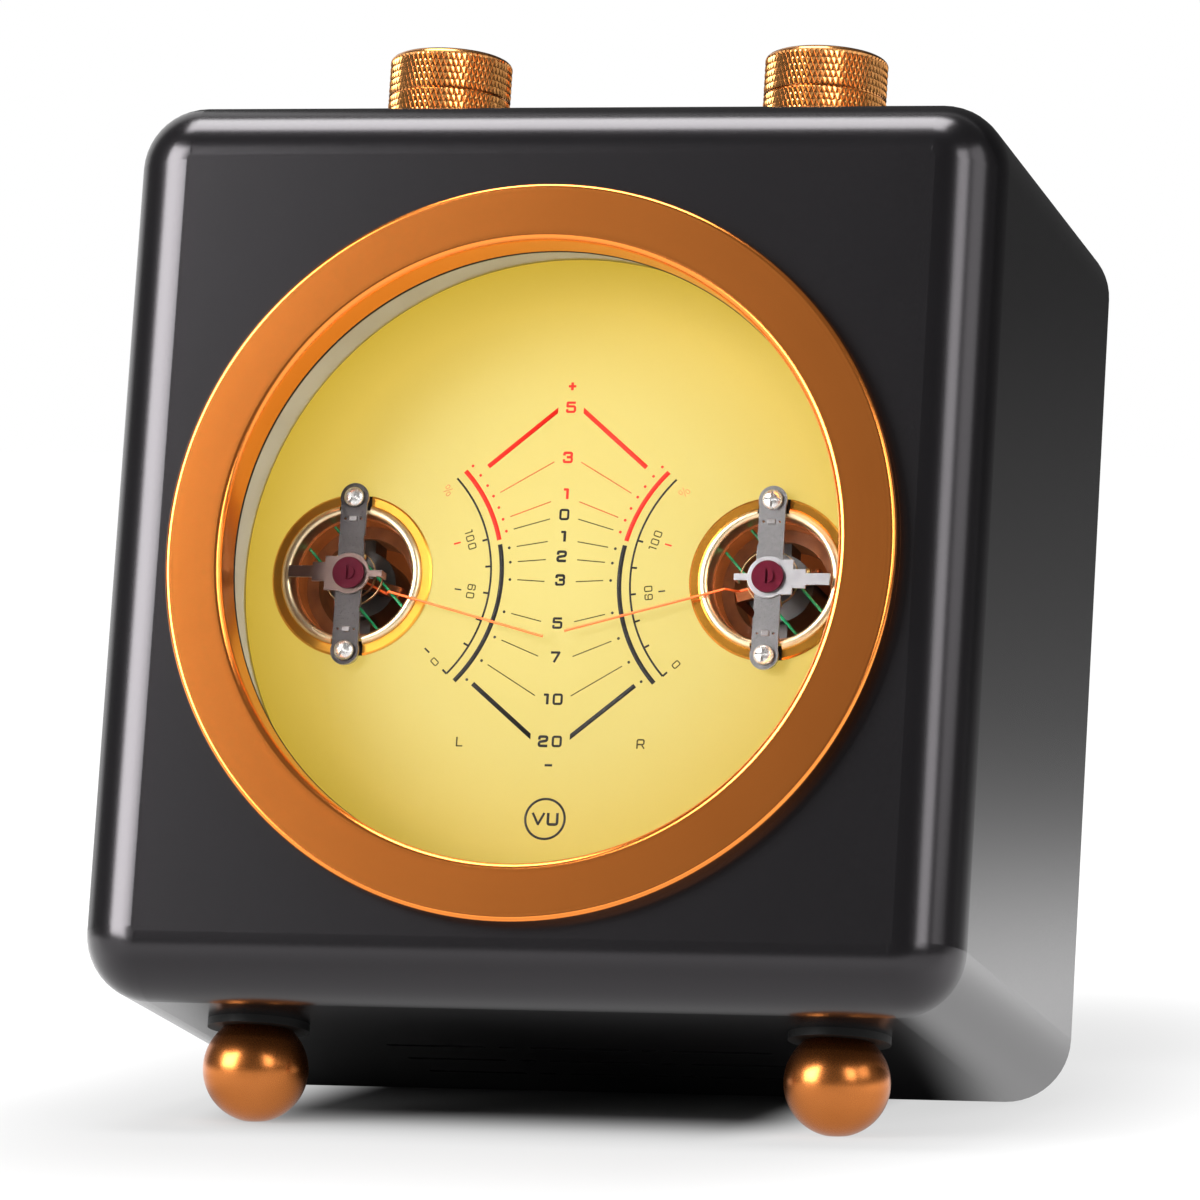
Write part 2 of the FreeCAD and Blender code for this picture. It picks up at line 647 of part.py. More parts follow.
def dial_plate():
    return pierced_disc(DRUM_BORE_RADIUS - DIAL_CLEARANCE, DIAL_FACE_Y, DIAL_BACK_Y, EYELET_HOLE_RADIUS)


def light_guide():
    return pierced_disc(LIGHT_BORE_RADIUS - GUIDE_CLEARANCE, DIAL_BACK_Y, GUIDE_BACK_Y, EYELET_HOLE_RADIUS)


def backlight_board():
    return pierced_disc(LIGHT_BORE_RADIUS - BOARD_CLEARANCE, LED_BOARD_Y, LED_BOARD_BACK_Y,
                        HOUSING_RADIUS + BOARD_CLEARANCE)


def backlight_leds():
    width, height, length = LED_SIZE
    chip = block(-width / 2, width / 2, LED_BOARD_Y - height, LED_BOARD_Y, -length / 2, length / 2)
    chips = []
    for index in range(LED_COUNT):
        degrees = 360.0 / LED_COUNT * (index + 0.5)
        place = polar(LED_CIRCLE_RADIUS, degrees, 0)
        if math.hypot(abs(place.x) - PIVOT_SPACING / 2, place.z - DIAL_HEIGHT) < HOUSING_RADIUS + LED_MARGIN:
            continue
        chips.append(chip.translated(place))
    return group(chips)


# ---------------------------------------------------------------- movement, fixed pieces
def eyelet(side):
    """Brass ring that lines the dial's hole, notched for the bridge pillars."""
    x = pivot_x(side)
    bore, neck = EYELET_BORE_RADIUS, EYELET_BORE_RADIUS + EYELET_NECK_WALL
    top, end = DIAL_FACE_Y - EYELET_RISE, DIAL_FACE_Y + EYELET_NECK_DEPTH
    edge, lip = EYELET_EDGE, bore + EYELET_LIP_WIDTH
    ring = turned([(bore, end), (bore, top + edge), (bore + edge, top), (lip, top),
                   (lip + EYELET_LIP_STEP, top + EYELET_LIP_STEP), (EYELET_RADIUS, DIAL_FACE_Y - edge),
                   (EYELET_RADIUS, DIAL_FACE_Y), (neck, DIAL_FACE_Y), (neck, end)], x)
    half = PILLAR_RADIUS + EYELET_NOTCH_MARGIN
    low = DIAL_HEIGHT + BRIDGE_SCREW_REACH - PILLAR_RADIUS - PILLAR_CLEARANCE
    high = DIAL_HEIGHT + EYELET_RADIUS + OVERCUT
    notch = block(x - half, x + half, top - OVERCUT, end + OVERCUT, low, high)
    return ring.cut(notch.fuse(turn_about_pivot(notch, 180, x)))


def movement_housing(side):
    x = pivot_x(side)
    bore, outside, floor = HOUSING_BORE_RADIUS, HOUSING_RADIUS, HOUSING_FLOOR_Y
    cup = turned([(bore, HOUSING_Y), (outside, HOUSING_Y), (outside, HOUSING_BACK_Y), (0, HOUSING_BACK_Y),
                  (0, floor), (bore, floor)], x)
    flange = tube_y(outside + FLANGE_WIDTH, bore + JOIN, DRUM_BACK_Y, DRUM_BACK_Y + FLANGE_THICKNESS, x)
    rear_jewel = rod_y(STAFF_RADIUS + RUNNING_GAP, floor - OVERCUT, HOUSING_BACK_Y - HOUSING_FLOOR / 2, x)
    wire_seats = lead_wire_solids(side, bore + WIRE_BITE, WIRE_RADIUS + THREAD_GAP)
    return cup.fuse(flange).cut(group([rear_jewel] + wire_seats)).removeSplitter()


def yoke_ring(side):
    """Soft-iron return ring pressed into the housing."""
    outer = HOUSING_BORE_RADIUS - THREAD_GAP
    return tube_y(outer, outer - YOKE_WALL, CORE_FRONT_Y + YOKE_SETBACK, CORE_BACK_Y, pivot_x(side))


def core_magnet(side):
    """Round magnet with an upper and a lower lug that reach the yoke ring."""
    x = pivot_x(side)
    core = rod_y(CORE_RADIUS, CORE_FRONT_Y, CORE_BACK_Y, x)
    reach = HOUSING_BORE_RADIUS - YOKE_WALL - 2 * THREAD_GAP
    half = CORE_LUG_WIDTH / 2
    bar = block(x - half, x + half, CORE_FRONT_Y + CORE_LUG_FRONT, CORE_BACK_Y - CORE_LUG_BACK,
                DIAL_HEIGHT - reach, DIAL_HEIGHT + reach)
    lugs = bar.common(rod_y(reach, CORE_FRONT_Y, CORE_BACK_Y, x))
    return core.fuse(lugs).removeSplitter()


def bridge(side):
    """Strap across the eyelet that carries the front bearing."""
    x = pivot_x(side)
    y_from, y_to = BRIDGE_FRONT_Y, BRIDGE_BACK_Y
    half = BRIDGE_WIDTH / 2
    strap = block(x - half, x + half, y_from, y_to, DIAL_HEIGHT - BRIDGE_SCREW_REACH,
                  DIAL_HEIGHT + BRIDGE_SCREW_REACH)
    ends = [rod_y(BRIDGE_END_RADIUS, y_from, y_to, x, DIAL_HEIGHT + end * BRIDGE_SCREW_REACH)
            for end in (-1, 1)]
    boss = rod_y(BRIDGE_BOSS_RADIUS, y_from, y_to, x)
    cuts = [rod_y(JEWEL_STEM_RADIUS + THREAD_GAP, y_from - OVERCUT, y_to + OVERCUT, x)]
    for end in (-1, 1):
        cuts += bridge_cuts(side, end)
    return strap.multiFuse(ends + [boss]).cut(group(cuts)).removeSplitter()


def bridge_cuts(side, end):
    """Screw hole, window with a pip hole each side, and inner edge notch of one arm of the strap."""
    x = pivot_x(side)
    y_from, y_to = BRIDGE_FRONT_Y - OVERCUT, BRIDGE_BACK_Y + OVERCUT
    width, height = BRIDGE_WINDOW
    window = DIAL_HEIGHT + end * BRIDGE_WINDOW_REACH
    notch_x = x - SIDES[side] * (BRIDGE_WIDTH / 2 + BRIDGE_NOTCH_RADIUS - BRIDGE_NOTCH_BITE)
    pips = [rod_y(BRIDGE_PIP_RADIUS, y_from, y_to, x + across * BRIDGE_PIP_REACH, window)
            for across in (-1, 1)]
    return pips + [
        rod_y(SMALL_SCREW_RADIUS + RUNNING_GAP, y_from, y_to, x, DIAL_HEIGHT + end * BRIDGE_SCREW_REACH),
        block(x - width / 2, x + width / 2, y_from, y_to, window - height / 2, window + height / 2),
        rod_y(BRIDGE_NOTCH_RADIUS, y_from, y_to, notch_x, DIAL_HEIGHT + end * BRIDGE_NOTCH_REACH)]


def bridge_screws():
    screw = pan_screw(SMALL_SCREW_RADIUS, BRIDGE_SCREW_LENGTH, SMALL_HEAD_RADIUS, SMALL_HEAD_HEIGHT,
                      SMALL_RECESS_WIDTH)
    return group([aimed(screw, vec(place.x, BRIDGE_FRONT_Y, place.z), vec(0, -1, 0))
                  for place in pillar_places()])


def jewel_screws():
    return group([jewel_screw(side) for side in SIDES])


def jewel_screw(side):
    """Slotted bearing screw whose stem carries the zero lever and the staff's front pivot."""
    x = pivot_x(side)
    front, edge = JEWEL_BACK_Y - JEWEL_DISC_THICKNESS, JEWEL_EDGE
    disc = turned([(0, JEWEL_BACK_Y), (JEWEL_DISC_RADIUS, JEWEL_BACK_Y), (JEWEL_DISC_RADIUS, front + edge),
                   (JEWEL_DISC_RADIUS - edge, front), (0, front)], x)
    boss = rod_y(JEWEL_BOSS_RADIUS, front - JEWEL_BOSS_HEIGHT, front + JOIN, x)
    stem = rod_y(JEWEL_STEM_RADIUS, JEWEL_BACK_Y - JOIN, JEWEL_STEM_END_Y, x)
    cup = rod_y(STAFF_RADIUS + RUNNING_GAP, JEWEL_CUP_Y, JEWEL_STEM_END_Y + OVERCUT, x)
    half_width, half_length = JEWEL_SLOT_WIDTH / 2, JEWEL_SLOT_LENGTH / 2
    slot = block(x - half_width, x + half_width, front - OVERCUT, front + JOIN, DIAL_HEIGHT - half_length,
                 DIAL_HEIGHT + half_length)
    return disc.multiFuse([boss, stem]).cut(group([cup, slot])).removeSplitter()


def lead_wire_solids(side, reach, radius):
    """Two parallel leads that cross the housing either side of the staff."""
    x = pivot_x(side)
    half = math.sqrt(reach ** 2 - WIRE_OFFSET ** 2)
    wires = []
    for offset in (-WIRE_OFFSET, WIRE_OFFSET):
        wire = Part.makeCylinder(radius, 2 * half, vec(x - half, WIRE_Y, DIAL_HEIGHT + offset), vec(1, 0, 0))
        wires.append(turn_about_pivot(wire, WIRE_SLANT, x))
    return wires


def lead_wires():
    left, right = [lead_wire_solids(side, HOUSING_BORE_RADIUS, WIRE_RADIUS) for side in SIDES]
    return group(left + right)


# ---------------------------------------------------------------- movement, zero lever
def zero_lever(side):
    """Stepped lever on the jewel screw's stem, with a bent tab for the hairspring."""
    x = pivot_x(side)
    outward = SIDES[side]
    front, back = LEVER_FRONT_Y, LEVER_BACK_Y
    collar = rod_y(LEVER_COLLAR_RADIUS, front, back, x)
    half_tab = LEVER_TAB_WIDTH / 2
    plates = [lever_plate(x, outward, *step, front, back) for step in LEVER_STEPS]
    tongue = lever_plate(x, -outward, LEVER_TAB_REACH, half_tab, half_tab, front, back)
    tab_in = LEVER_TAB_REACH - LEVER_THICKNESS
    low, high = sorted((x - outward * tab_in, x - outward * LEVER_TAB_REACH))
    tab = block(low, high, front, back + LEVER_TAB_DROP, DIAL_HEIGHT - half_tab, DIAL_HEIGHT + half_tab)
    bore = rod_y(JEWEL_STEM_RADIUS + RUNNING_GAP, front - OVERCUT, back + OVERCUT, x)
    return collar.multiFuse(plates + [tongue, tab]).cut(bore).removeSplitter()


def lever_plate(x, direction, reach, leading, trailing, y_from, y_to):
    """Flat arm; its two flanks swap places when it points the other way."""
    inner, outer = sorted((x + direction * LEVER_PLATE_ROOT, x + direction * reach))
    below, above = (trailing, leading) if direction < 0 else (leading, trailing)
    return block(inner, outer, y_from, y_to, DIAL_HEIGHT - below, DIAL_HEIGHT + above)


def hairspring(side):
    """Flat spiral strip from the staff's collet out to the lever's tab."""
    x = pivot_x(side)
    inward = 0.0 if side == "left" else 180.0
    outer_radius = LEVER_TAB_REACH - LEVER_THICKNESS - SPRING_THICKNESS
    pitch = (outer_radius - SPRING_INNER_RADIUS) / SPRING_TURNS
    y = LEVER_BACK_Y + LEVER_TAB_DROP - SPRING_HEIGHT - SPRING_SETBACK
    steps = SPRING_TURNS * SPRING_POINTS_PER_TURN
    shares = [step / steps for step in range(steps + 1)]
    inner = [spiral_point(share, 0.0, pitch, inward, y, x) for share in shares]
    outer = [spiral_point(share, SPRING_THICKNESS, pitch, inward, y, x) for share in reversed(shares)]
    return Part.Face(Part.makePolygon(inner + outer + inner[:1])).extrude(vec(0, SPRING_HEIGHT, 0))


def spiral_point(share, offset, pitch, inward, y, x):
    """Point on the spiral, share 0 at the collet and 1 at the tab."""
    turns = share * SPRING_TURNS
    radius = SPRING_INNER_RADIUS + turns * pitch + offset
    return polar(radius, inward + 360.0 * turns, y, x)


# ---------------------------------------------------------------- movement, moving coil
def rest_turn(side):
    """Angle from the horizontal pointer to the resting pointer."""
    return POINTER_ANGLE if side == "left" else -POINTER_ANGLE


def moving_coil(side):
    x = pivot_x(side)
    half = COIL_WIDTH / 2
    outer = block(x - COIL_REACH, x + COIL_REACH, COIL_FRONT_Y, COIL_BACK_Y, DIAL_HEIGHT - half,
                  DIAL_HEIGHT + half)
    inside = COIL_REACH - COIL_SECTION
    window = block(x - inside, x + inside, COIL_FRONT_Y + COIL_SECTION, COIL_BACK_Y - COIL_SECTION,
                   DIAL_HEIGHT - half - OVERCUT, DIAL_HEIGHT + half + OVERCUT)
    outer = outer.makeFillet(COIL_CORNER, edges_along(outer, vec(0, 0, 1)))
    return turn_about_pivot(outer.cut(window), rest_turn(side), x)


def staff(side):
    """Front and rear pivots with their hubs, either side of the coil."""
    x = pivot_x(side)
    tip, hub = JEWEL_CUP_Y + STAFF_END_GAP, POINTER_ROOT_Y - HUB_RISE
    front = turned([(0, tip), (STAFF_RADIUS, tip + STAFF_POINT), (STAFF_RADIUS, hub), (HUB_RADIUS, hub),
                    (HUB_RADIUS, COIL_FRONT_Y), (0, COIL_FRONT_Y)], x)
    hub, tip = COIL_BACK_Y + REAR_HUB_LENGTH, HOUSING_BACK_Y - HOUSING_FLOOR / 2 - 2 * STAFF_END_GAP
    rear = turned([(0, COIL_BACK_Y), (HUB_RADIUS, COIL_BACK_Y), (HUB_RADIUS, hub), (STAFF_RADIUS, hub),
                   (STAFF_RADIUS, tip - STAFF_POINT), (0, tip)], x)
    return group([front.cut(wire_hole(side)), rear])


def wire_hole(side):
    """Room in the hub for the pointer and the balance arms."""
    x = pivot_x(side)
    half = HUB_RADIUS + OVERCUT
    start = vec(x - half, POINTER_ROOT_Y, DIAL_HEIGHT)
    arm = Part.makeCylinder(ARM_RADIUS + THREAD_GAP, 2 * half, start, vec(1, 0, 0))
    return group([turn_about_pivot(arm, rest_turn(side) + turn, x) for turn in (0, 90)])


def pointer(side):
    """Fine pointer: low at the hub, cranked up over the eyelet, straight to the tip."""
    x = pivot_x(side)
    inward = -SIDES[side]
    offset = POINTER_OFFSET_LEFT if side == "left" else POINTER_OFFSET_RIGHT
    reach = math.sqrt(POINTER_LENGTH ** 2 - offset ** 2)
    route = ((ARM_RADIUS + THREAD_GAP, 0.0, POINTER_ROOT_Y), (HUB_RADIUS + ARM_RADIUS, 0.0, POINTER_ROOT_Y),
             (POINTER_CRANK_IN, -offset, POINTER_ROOT_Y), (POINTER_CRANK_OUT, -offset, POINTER_Y),
             (reach, -offset, POINTER_Y))
    points = [vec(x + inward * along, y, DIAL_HEIGHT + across) for along, across, y in route]
    return turn_about_pivot(wire_between(points, POINTER_RADIUS), rest_turn(side), x)


def balance_arms(side):
    """Tail and two side arms that balance the pointer."""
    x = pivot_x(side)
    outward = SIDES[side]
    centre = vec(x, POINTER_ROOT_Y, DIAL_HEIGHT)
    tail = Part.makeCylinder(ARM_RADIUS, TAIL_LENGTH, centre, vec(outward, 0, 0))
    side_arms = Part.makeCylinder(ARM_RADIUS, 2 * ARM_LENGTH, centre - vec(0, 0, ARM_LENGTH), vec(0, 0, 1))
    middle = rod_y(ARM_RADIUS + THREAD_GAP, POINTER_ROOT_Y - OVERCUT, POINTER_ROOT_Y + OVERCUT, x)
    arms = tail.fuse(side_arms).cut(middle)
    return turn_about_pivot(arms, rest_turn(side), x)


def balance_weights(side):
    """Three small sleeves on the balance arms; the tail's is the heavy one."""
    x = pivot_x(side)
    tail = balance_sleeve(TAIL_WEIGHT_RADIUS, TAIL_WEIGHT_LENGTH, TAIL_LENGTH)
    cross = balance_sleeve(WEIGHT_RADIUS, WEIGHT_LENGTH, ARM_LENGTH)
    centre = vec(x, POINTER_ROOT_Y, DIAL_HEIGHT)
    sleeves = [aimed(tail, centre, vec(SIDES[side], 0, 0)), aimed(cross, centre, vec(0, 0, 1)),
               aimed(cross, centre, vec(0, 0, -1))]
    return turn_about_pivot(group(sleeves), rest_turn(side), x)


def balance_sleeve(radius, length, arm_end):
    """Sleeve that ends flush with an arm along +Z."""
    start = arm_end - length
    sleeve = Part.makeCylinder(radius, length, vec(0, 0, start))
    hole = Part.makeCylinder(ARM_RADIUS + THREAD_GAP, length + 2 * OVERCUT, vec(0, 0, start - OVERCUT))
    return sleeve.cut(hole)


# ---------------------------------------------------------------- knobs and controls
def shaft_profile(radius, flat, z_from, z_to, x):
    """Round shaft with one flat on its rear side."""
    rod = rod_z(radius, z_from, z_to, x, KNOB_Y)
    half = radius + OVERCUT
    flat_cut = block(x - half, x + half, KNOB_Y + flat, KNOB_Y + half, z_from - OVERCUT, z_to + OVERCUT)
    return rod.cut(flat_cut)


def knob(side):
    x = knob_x(side)
    chamfer, base_chamfer, groove = KNOB_CHAMFER, KNOB_BASE_CHAMFER, KNOB_GROOVE_WIDTH / 2
    radius, height = KNOB_RADIUS, KNOB_HEIGHT
    body = turned_z([(0, 0), (radius - base_chamfer, 0), (radius, base_chamfer),
                     (radius, KNOB_GROOVE_HEIGHT - groove), (radius - KNOB_GROOVE_DEPTH, KNOB_GROOVE_HEIGHT),
                     (radius, KNOB_GROOVE_HEIGHT + groove), (radius, height - chamfer),
                     (radius - chamfer, height), (0, height)], x, KNOB_Y, KNOB_BASE)
    recess = rod_z(KNOB_RECESS_RADIUS, KNOB_BASE - OVERCUT, KNOB_BASE + KNOB_RECESS_HEIGHT, x, KNOB_Y)
    top = CASE_HEIGHT + SHAFT_LENGTH + SHAFT_END_GAP
    bore = shaft_profile(SHAFT_RADIUS + THREAD_GAP, SHAFT_FLAT + THREAD_GAP, KNOB_BASE, top, x)
    return body.cut(group([recess, bore, grub_hole(x)]))


def grub_hole(x):
    start = vec(x, KNOB_Y + SHAFT_FLAT, KNOB_BASE + GRUB_HEIGHT)
    return Part.makeCylinder(GRUB_RADIUS + THREAD_GAP, KNOB_RADIUS, start, vec(0, 1, 0))


def grub_screw(side):
    """Set screw that bears on the shaft's flat, with a hexagon socket."""
    x, z = knob_x(side), KNOB_BASE + GRUB_HEIGHT
    start = KNOB_Y + SHAFT_FLAT + THREAD_GAP
    end = start + GRUB_LENGTH
    socket = aimed(hexagon(GRUB_HEX, GRUB_HEX + OVERCUT), vec(x, end - GRUB_HEX, z), vec(0, 1, 0))
    return rod_y(GRUB_RADIUS, start, end, x, z).cut(socket)


def hexagon(across_flats, height):
    radius = across_flats / math.sqrt(3)
    corners = [vec(radius * math.cos(math.radians(60 * k)), radius * math.sin(math.radians(60 * k)), 0)
               for k in range(6)]
    return Part.Face(Part.makePolygon(corners + corners[:1])).extrude(vec(0, 0, height))


def pot_body(side):
    """Rotary control under the case top, with its threaded bushing and three tags."""
    x = knob_x(side)
    top = TOP_INSIDE + BUSHING_LENGTH
    can = rod_z(POT_RADIUS, POT_BASE, TOP_INSIDE, x, KNOB_Y)
    bushing = rod_z(BUSHING_RADIUS, TOP_INSIDE - JOIN, top, x, KNOB_Y)
    width, length, thickness = POT_TAG
    end, low = KNOB_Y + POT_RADIUS + length / 2, POT_BASE + JOIN - thickness
    tags = [block(tag_x - width / 2, tag_x + width / 2, end - length, end, low, low + thickness)
            for tag_x in (x - POT_TAG_PITCH, x, x + POT_TAG_PITCH)]
    bore = rod_z(SHAFT_RADIUS + RUNNING_GAP, POT_BASE + POT_FLOOR, top + OVERCUT, x, KNOB_Y)
    return can.multiFuse([bushing] + tags).cut(bore).removeSplitter()


def pot_shaft(side):
    x = knob_x(side)
    low, top = POT_BASE + POT_FLOOR + SHAFT_END_GAP, TOP_INSIDE + BUSHING_LENGTH
    round_part = rod_z(SHAFT_RADIUS, low, top, x, KNOB_Y)
    flat_part = shaft_profile(SHAFT_RADIUS, SHAFT_FLAT, top - JOIN, CASE_HEIGHT + SHAFT_LENGTH, x)
    return round_part.fuse(flat_part).removeSplitter()


def pot_washers():
    washers = []
    for side in SIDES:
        disc = rod_z(WASHER_RADIUS, CASE_HEIGHT, CASE_HEIGHT + WASHER_THICKNESS, knob_x(side), KNOB_Y)
        hole = rod_z(BUSHING_RADIUS + BUSHING_CLEARANCE, CASE_HEIGHT - OVERCUT, CASE_HEIGHT + OVERCUT,
                     knob_x(side), KNOB_Y)
        washers.append(disc.cut(hole))
    return group(washers)


def pot_nuts():
    hole = rod_z(BUSHING_RADIUS + THREAD_GAP, -OVERCUT, NUT_HEIGHT + OVERCUT, 0, 0)
    nut = hexagon(NUT_ACROSS_FLATS, NUT_HEIGHT).cut(hole)
    seat = CASE_HEIGHT + WASHER_THICKNESS
    return group([nut.translated(vec(knob_x(side), KNOB_Y, seat)) for side in SIDES])


# ---------------------------------------------------------------- board and sockets
def socket_places():
    return [SOCKET_X - SOCKET_SPACING / 2, SOCKET_X + SOCKET_SPACING / 2]


def socket_z():
    return BOARD_TOP + SOCKET_BLOCK[2] / 2


def power_z():
    return BOARD_TOP + POWER_BLOCK[2] / 2


def main_board():
    width, depth, thickness = BOARD_SIZE
    board = block(-width / 2, width / 2, BOARD_Y, BOARD_Y + depth, BOARD_HEIGHT, BOARD_TOP)
    holes = [rod_z(M3_HOLE_RADIUS, BOARD_HEIGHT - OVERCUT, BOARD_TOP + OVERCUT, place.x, place.y)
             for place in board_screw_places()]
    return board.cut(group(holes))


def board_parts():
    """Driver chips and capacitors on the board."""
    width, depth, height = CHIP_SIZE
    y = BOARD_Y + BOARD_PART_SETBACK
    chips = [block(x - width / 2, x + width / 2, y - depth / 2, y + depth / 2, BOARD_TOP, BOARD_TOP + height)
             for x in CHIP_PLACES]
    cans = [rod_z(CAPACITOR_RADIUS, BOARD_TOP, BOARD_TOP + CAPACITOR_HEIGHT, x, y) for x in CAPACITOR_PLACES]
    return group(chips + cans)


def board_screws():
    screw = pan_screw(PILOT_RADIUS, BOARD_SCREW_LENGTH, M3_HEAD_RADIUS, M3_HEAD_HEIGHT, M3_RECESS_WIDTH)
    return group([aimed(screw, place, vec(0, 0, 1)) for place in board_screw_places()])


def socket_block():
    """Moulded carrier of the two signal sockets, with an insulator in each shell."""
    width, depth, height = SOCKET_BLOCK
    body = block(SOCKET_X - width / 2, SOCKET_X + width / 2, PANEL_Y - depth, PANEL_Y, BOARD_TOP,
                 BOARD_TOP + height)
    end = SOCKET_END_Y
    plug_radius = SOCKET_SHELL_RADIUS - SOCKET_SHELL_WALL - THREAD_GAP
    insulators = [rod_y(plug_radius, PANEL_Y - JOIN, end - SOCKET_SETBACK, x, socket_z())
                  for x in socket_places()]
    bores = [rod_y(SOCKET_BORE_RADIUS, end - SOCKET_BORE_FLOOR, end + OVERCUT, x, socket_z())
             for x in socket_places()]
    return body.multiFuse(insulators).cut(group(bores)).removeSplitter()


def socket_shells():
    """Round contacts that a plug's outer ring slides over, each on a collar in the panel."""
    radius, inner, collar = SOCKET_SHELL_RADIUS, SOCKET_SHELL_RADIUS - SOCKET_SHELL_WALL, SOCKET_COLLAR_RADIUS
    step, end = PANEL_REAR_Y + SOCKET_COLLAR_RISE, SOCKET_END_Y
    profile = [(inner, PANEL_Y), (collar, PANEL_Y), (collar, step), (radius, step), (radius, end),
               (inner, end)]
    return group([turned(profile, x, socket_z()) for x in socket_places()])


def power_socket():
    width, depth, height = POWER_BLOCK
    body = block(POWER_X - width / 2, POWER_X + width / 2, PANEL_Y - depth, PANEL_Y, BOARD_TOP,
                 BOARD_TOP + height)
    end = PANEL_REAR_Y + POWER_NOSE_PROUD
    floor = end - POWER_BORE_DEPTH
    nose = rod_y(POWER_NOSE_RADIUS, PANEL_Y - JOIN, end, POWER_X, power_z())
    bore = rod_y(POWER_BORE_RADIUS, floor, end + OVERCUT, POWER_X, power_z())
    pin = rod_y(POWER_PIN_RADIUS, floor - JOIN, end - POWER_PIN_SETBACK, POWER_X, power_z())
    return body.fuse(nose).cut(bore).fuse(pin).removeSplitter()


# ---------------------------------------------------------------- feet
def rest_angle():
    """Lean of the case, in radians, on its ball feet and its rear bottom edge."""
    along = CASE_DEPTH - REAR_EDGE_RADIUS - FOOT_Y
    rise = REAR_EDGE_RADIUS + FOOT_DROP
    ground_reach = math.sqrt(FOOT_RADIUS ** 2 - FOOT_FLAT_RADIUS ** 2)
    span = math.hypot(along, rise)
    return math.atan2(rise, along) + math.asin((ground_reach - REAR_EDGE_RADIUS) / span)


def ball_foot(side):
    """Ball with a seat on top, a flat ground on its underside and a tapped hole."""
    x, angle, half = foot_x(side), rest_angle(), FOOT_RADIUS + OVERCUT
    centre = vec(x, FOOT_Y, -FOOT_DROP)
    upward = vec(0, -math.sin(angle), math.cos(angle))
    ball = Part.makeSphere(FOOT_RADIUS, centre, upward)
    seat = block(x - half, x + half, FOOT_Y - half, FOOT_Y + half, -FOOT_WASHER_THICKNESS, FOOT_RADIUS)
    reach = math.sqrt(FOOT_RADIUS ** 2 - FOOT_FLAT_RADIUS ** 2)
    ground = block(x - half, x + half, FOOT_Y - half, FOOT_Y + half, -FOOT_DROP - half, -FOOT_DROP - reach)
    ground = ground.rotated(centre, vec(1, 0, 0), math.degrees(angle))
    hole = rod_z(M3_RADIUS + THREAD_GAP, -FOOT_DROP - FOOT_HOLE_BITE, OVERCUT, x, FOOT_Y)
    return ball.cut(group([seat, ground, hole]))


def foot_washers():
    washers = []
    for side in SIDES:
        disc = rod_z(FOOT_WASHER_RADIUS, -FOOT_WASHER_THICKNESS, 0, foot_x(side), FOOT_Y)
        hole = rod_z(M3_HOLE_RADIUS, -FOOT_WASHER_THICKNESS - OVERCUT, OVERCUT, foot_x(side), FOOT_Y)
        washers.append(disc.cut(hole))
    return group(washers)


def foot_screws():
    screw = pan_screw(M3_RADIUS, CASE_WALL + FOOT_DROP + FOOT_SCREW_BITE, M3_HEAD_RADIUS, M3_HEAD_HEIGHT,
                      M3_RECESS_WIDTH)
    return group([aimed(screw, vec(foot_x(side), FOOT_Y, CASE_WALL), vec(0, 0, 1)) for side in SIDES])


# ---------------------------------------------------------------- standing place
def stand_placement():
    """Lean the case back, drop it on the ground plane and centre it."""
    angle = rest_angle()
    sine, cosine = math.sin(angle), math.cos(angle)
    edge = REAR_EDGE_RADIUS
    ground = -sine * (CASE_DEPTH - edge) + cosine * edge - edge
    front = min(-BEZEL_RISE * cosine + (DIAL_HEIGHT - BEZEL_RADIUS + BEZEL_CHAMFER) * sine,
                FRONT_RADIUS * (cosine + sine - 1))
    rear = (CASE_DEPTH - edge) * cosine + (CASE_HEIGHT - edge) * sine + edge
    turn = FreeCAD.Rotation(vec(1, 0, 0), -math.degrees(angle))
    return FreeCAD.Placement(vec(0, -(front + rear) / 2, -ground), turn)


def stood(shape, placement):
    moved = shape.copy()
    moved.Placement = placement.multiply(moved.Placement)
    return moved


SINGLE_PIECES = {
    "case_shell": case_shell, "rear_panel": rear_panel, "rear_panel_screws": panel_screw_set,
    "bezel_ring": bezel_ring, "lens_gasket": lens_gasket, "lens": lens,
    "meter_drum": meter_drum, "drum_screws": drum_screws, "terminal_pins": terminal_pins,
    "dial_plate": dial_plate, "light_guide": light_guide,
    "backlight_board": backlight_board, "backlight_leds": backlight_leds,
    "bridge_screws": bridge_screws, "jewel_screws": jewel_screws, "lead_wires": lead_wires,
    "pot_washers": pot_washers, "pot_nuts": pot_nuts,
    "main_board": main_board, "board_parts": board_parts, "board_screws": board_screws,
    "socket_block": socket_block, "socket_shells": socket_shells, "power_socket": power_socket,
    "foot_washers": foot_washers, "foot_screws": foot_screws,
}
PAIRED_PIECES = {
    "eyelet": eyelet, "movement_housing": movement_housing, "yoke_ring": yoke_ring,
    "core_magnet": core_magnet, "bridge": bridge, "zero_lever": zero_lever, "hairspring": hairspring,
    "moving_coil": moving_coil, "staff": staff, "pointer": pointer,
    "balance_arms": balance_arms, "balance_weights": balance_weights,
    "knob": knob, "grub_screw": grub_screw, "pot_body": pot_body, "pot_shaft": pot_shaft,
    "ball_foot": ball_foot,
}


def all_pieces():
    pieces = {name: make() for name, make in SINGLE_PIECES.items()}
    for name, make in PAIRED_PIECES.items():
        for side in SIDES:
            pieces[name + "_" + side] = make(side)
    return pieces


def write_parts():
    os.makedirs("parts", exist_ok=True)
    placement = stand_placement()
    for name, shape in all_pieces().items():
        stood(shape, placement).exportStep("parts/" + name + ".step")


write_parts()
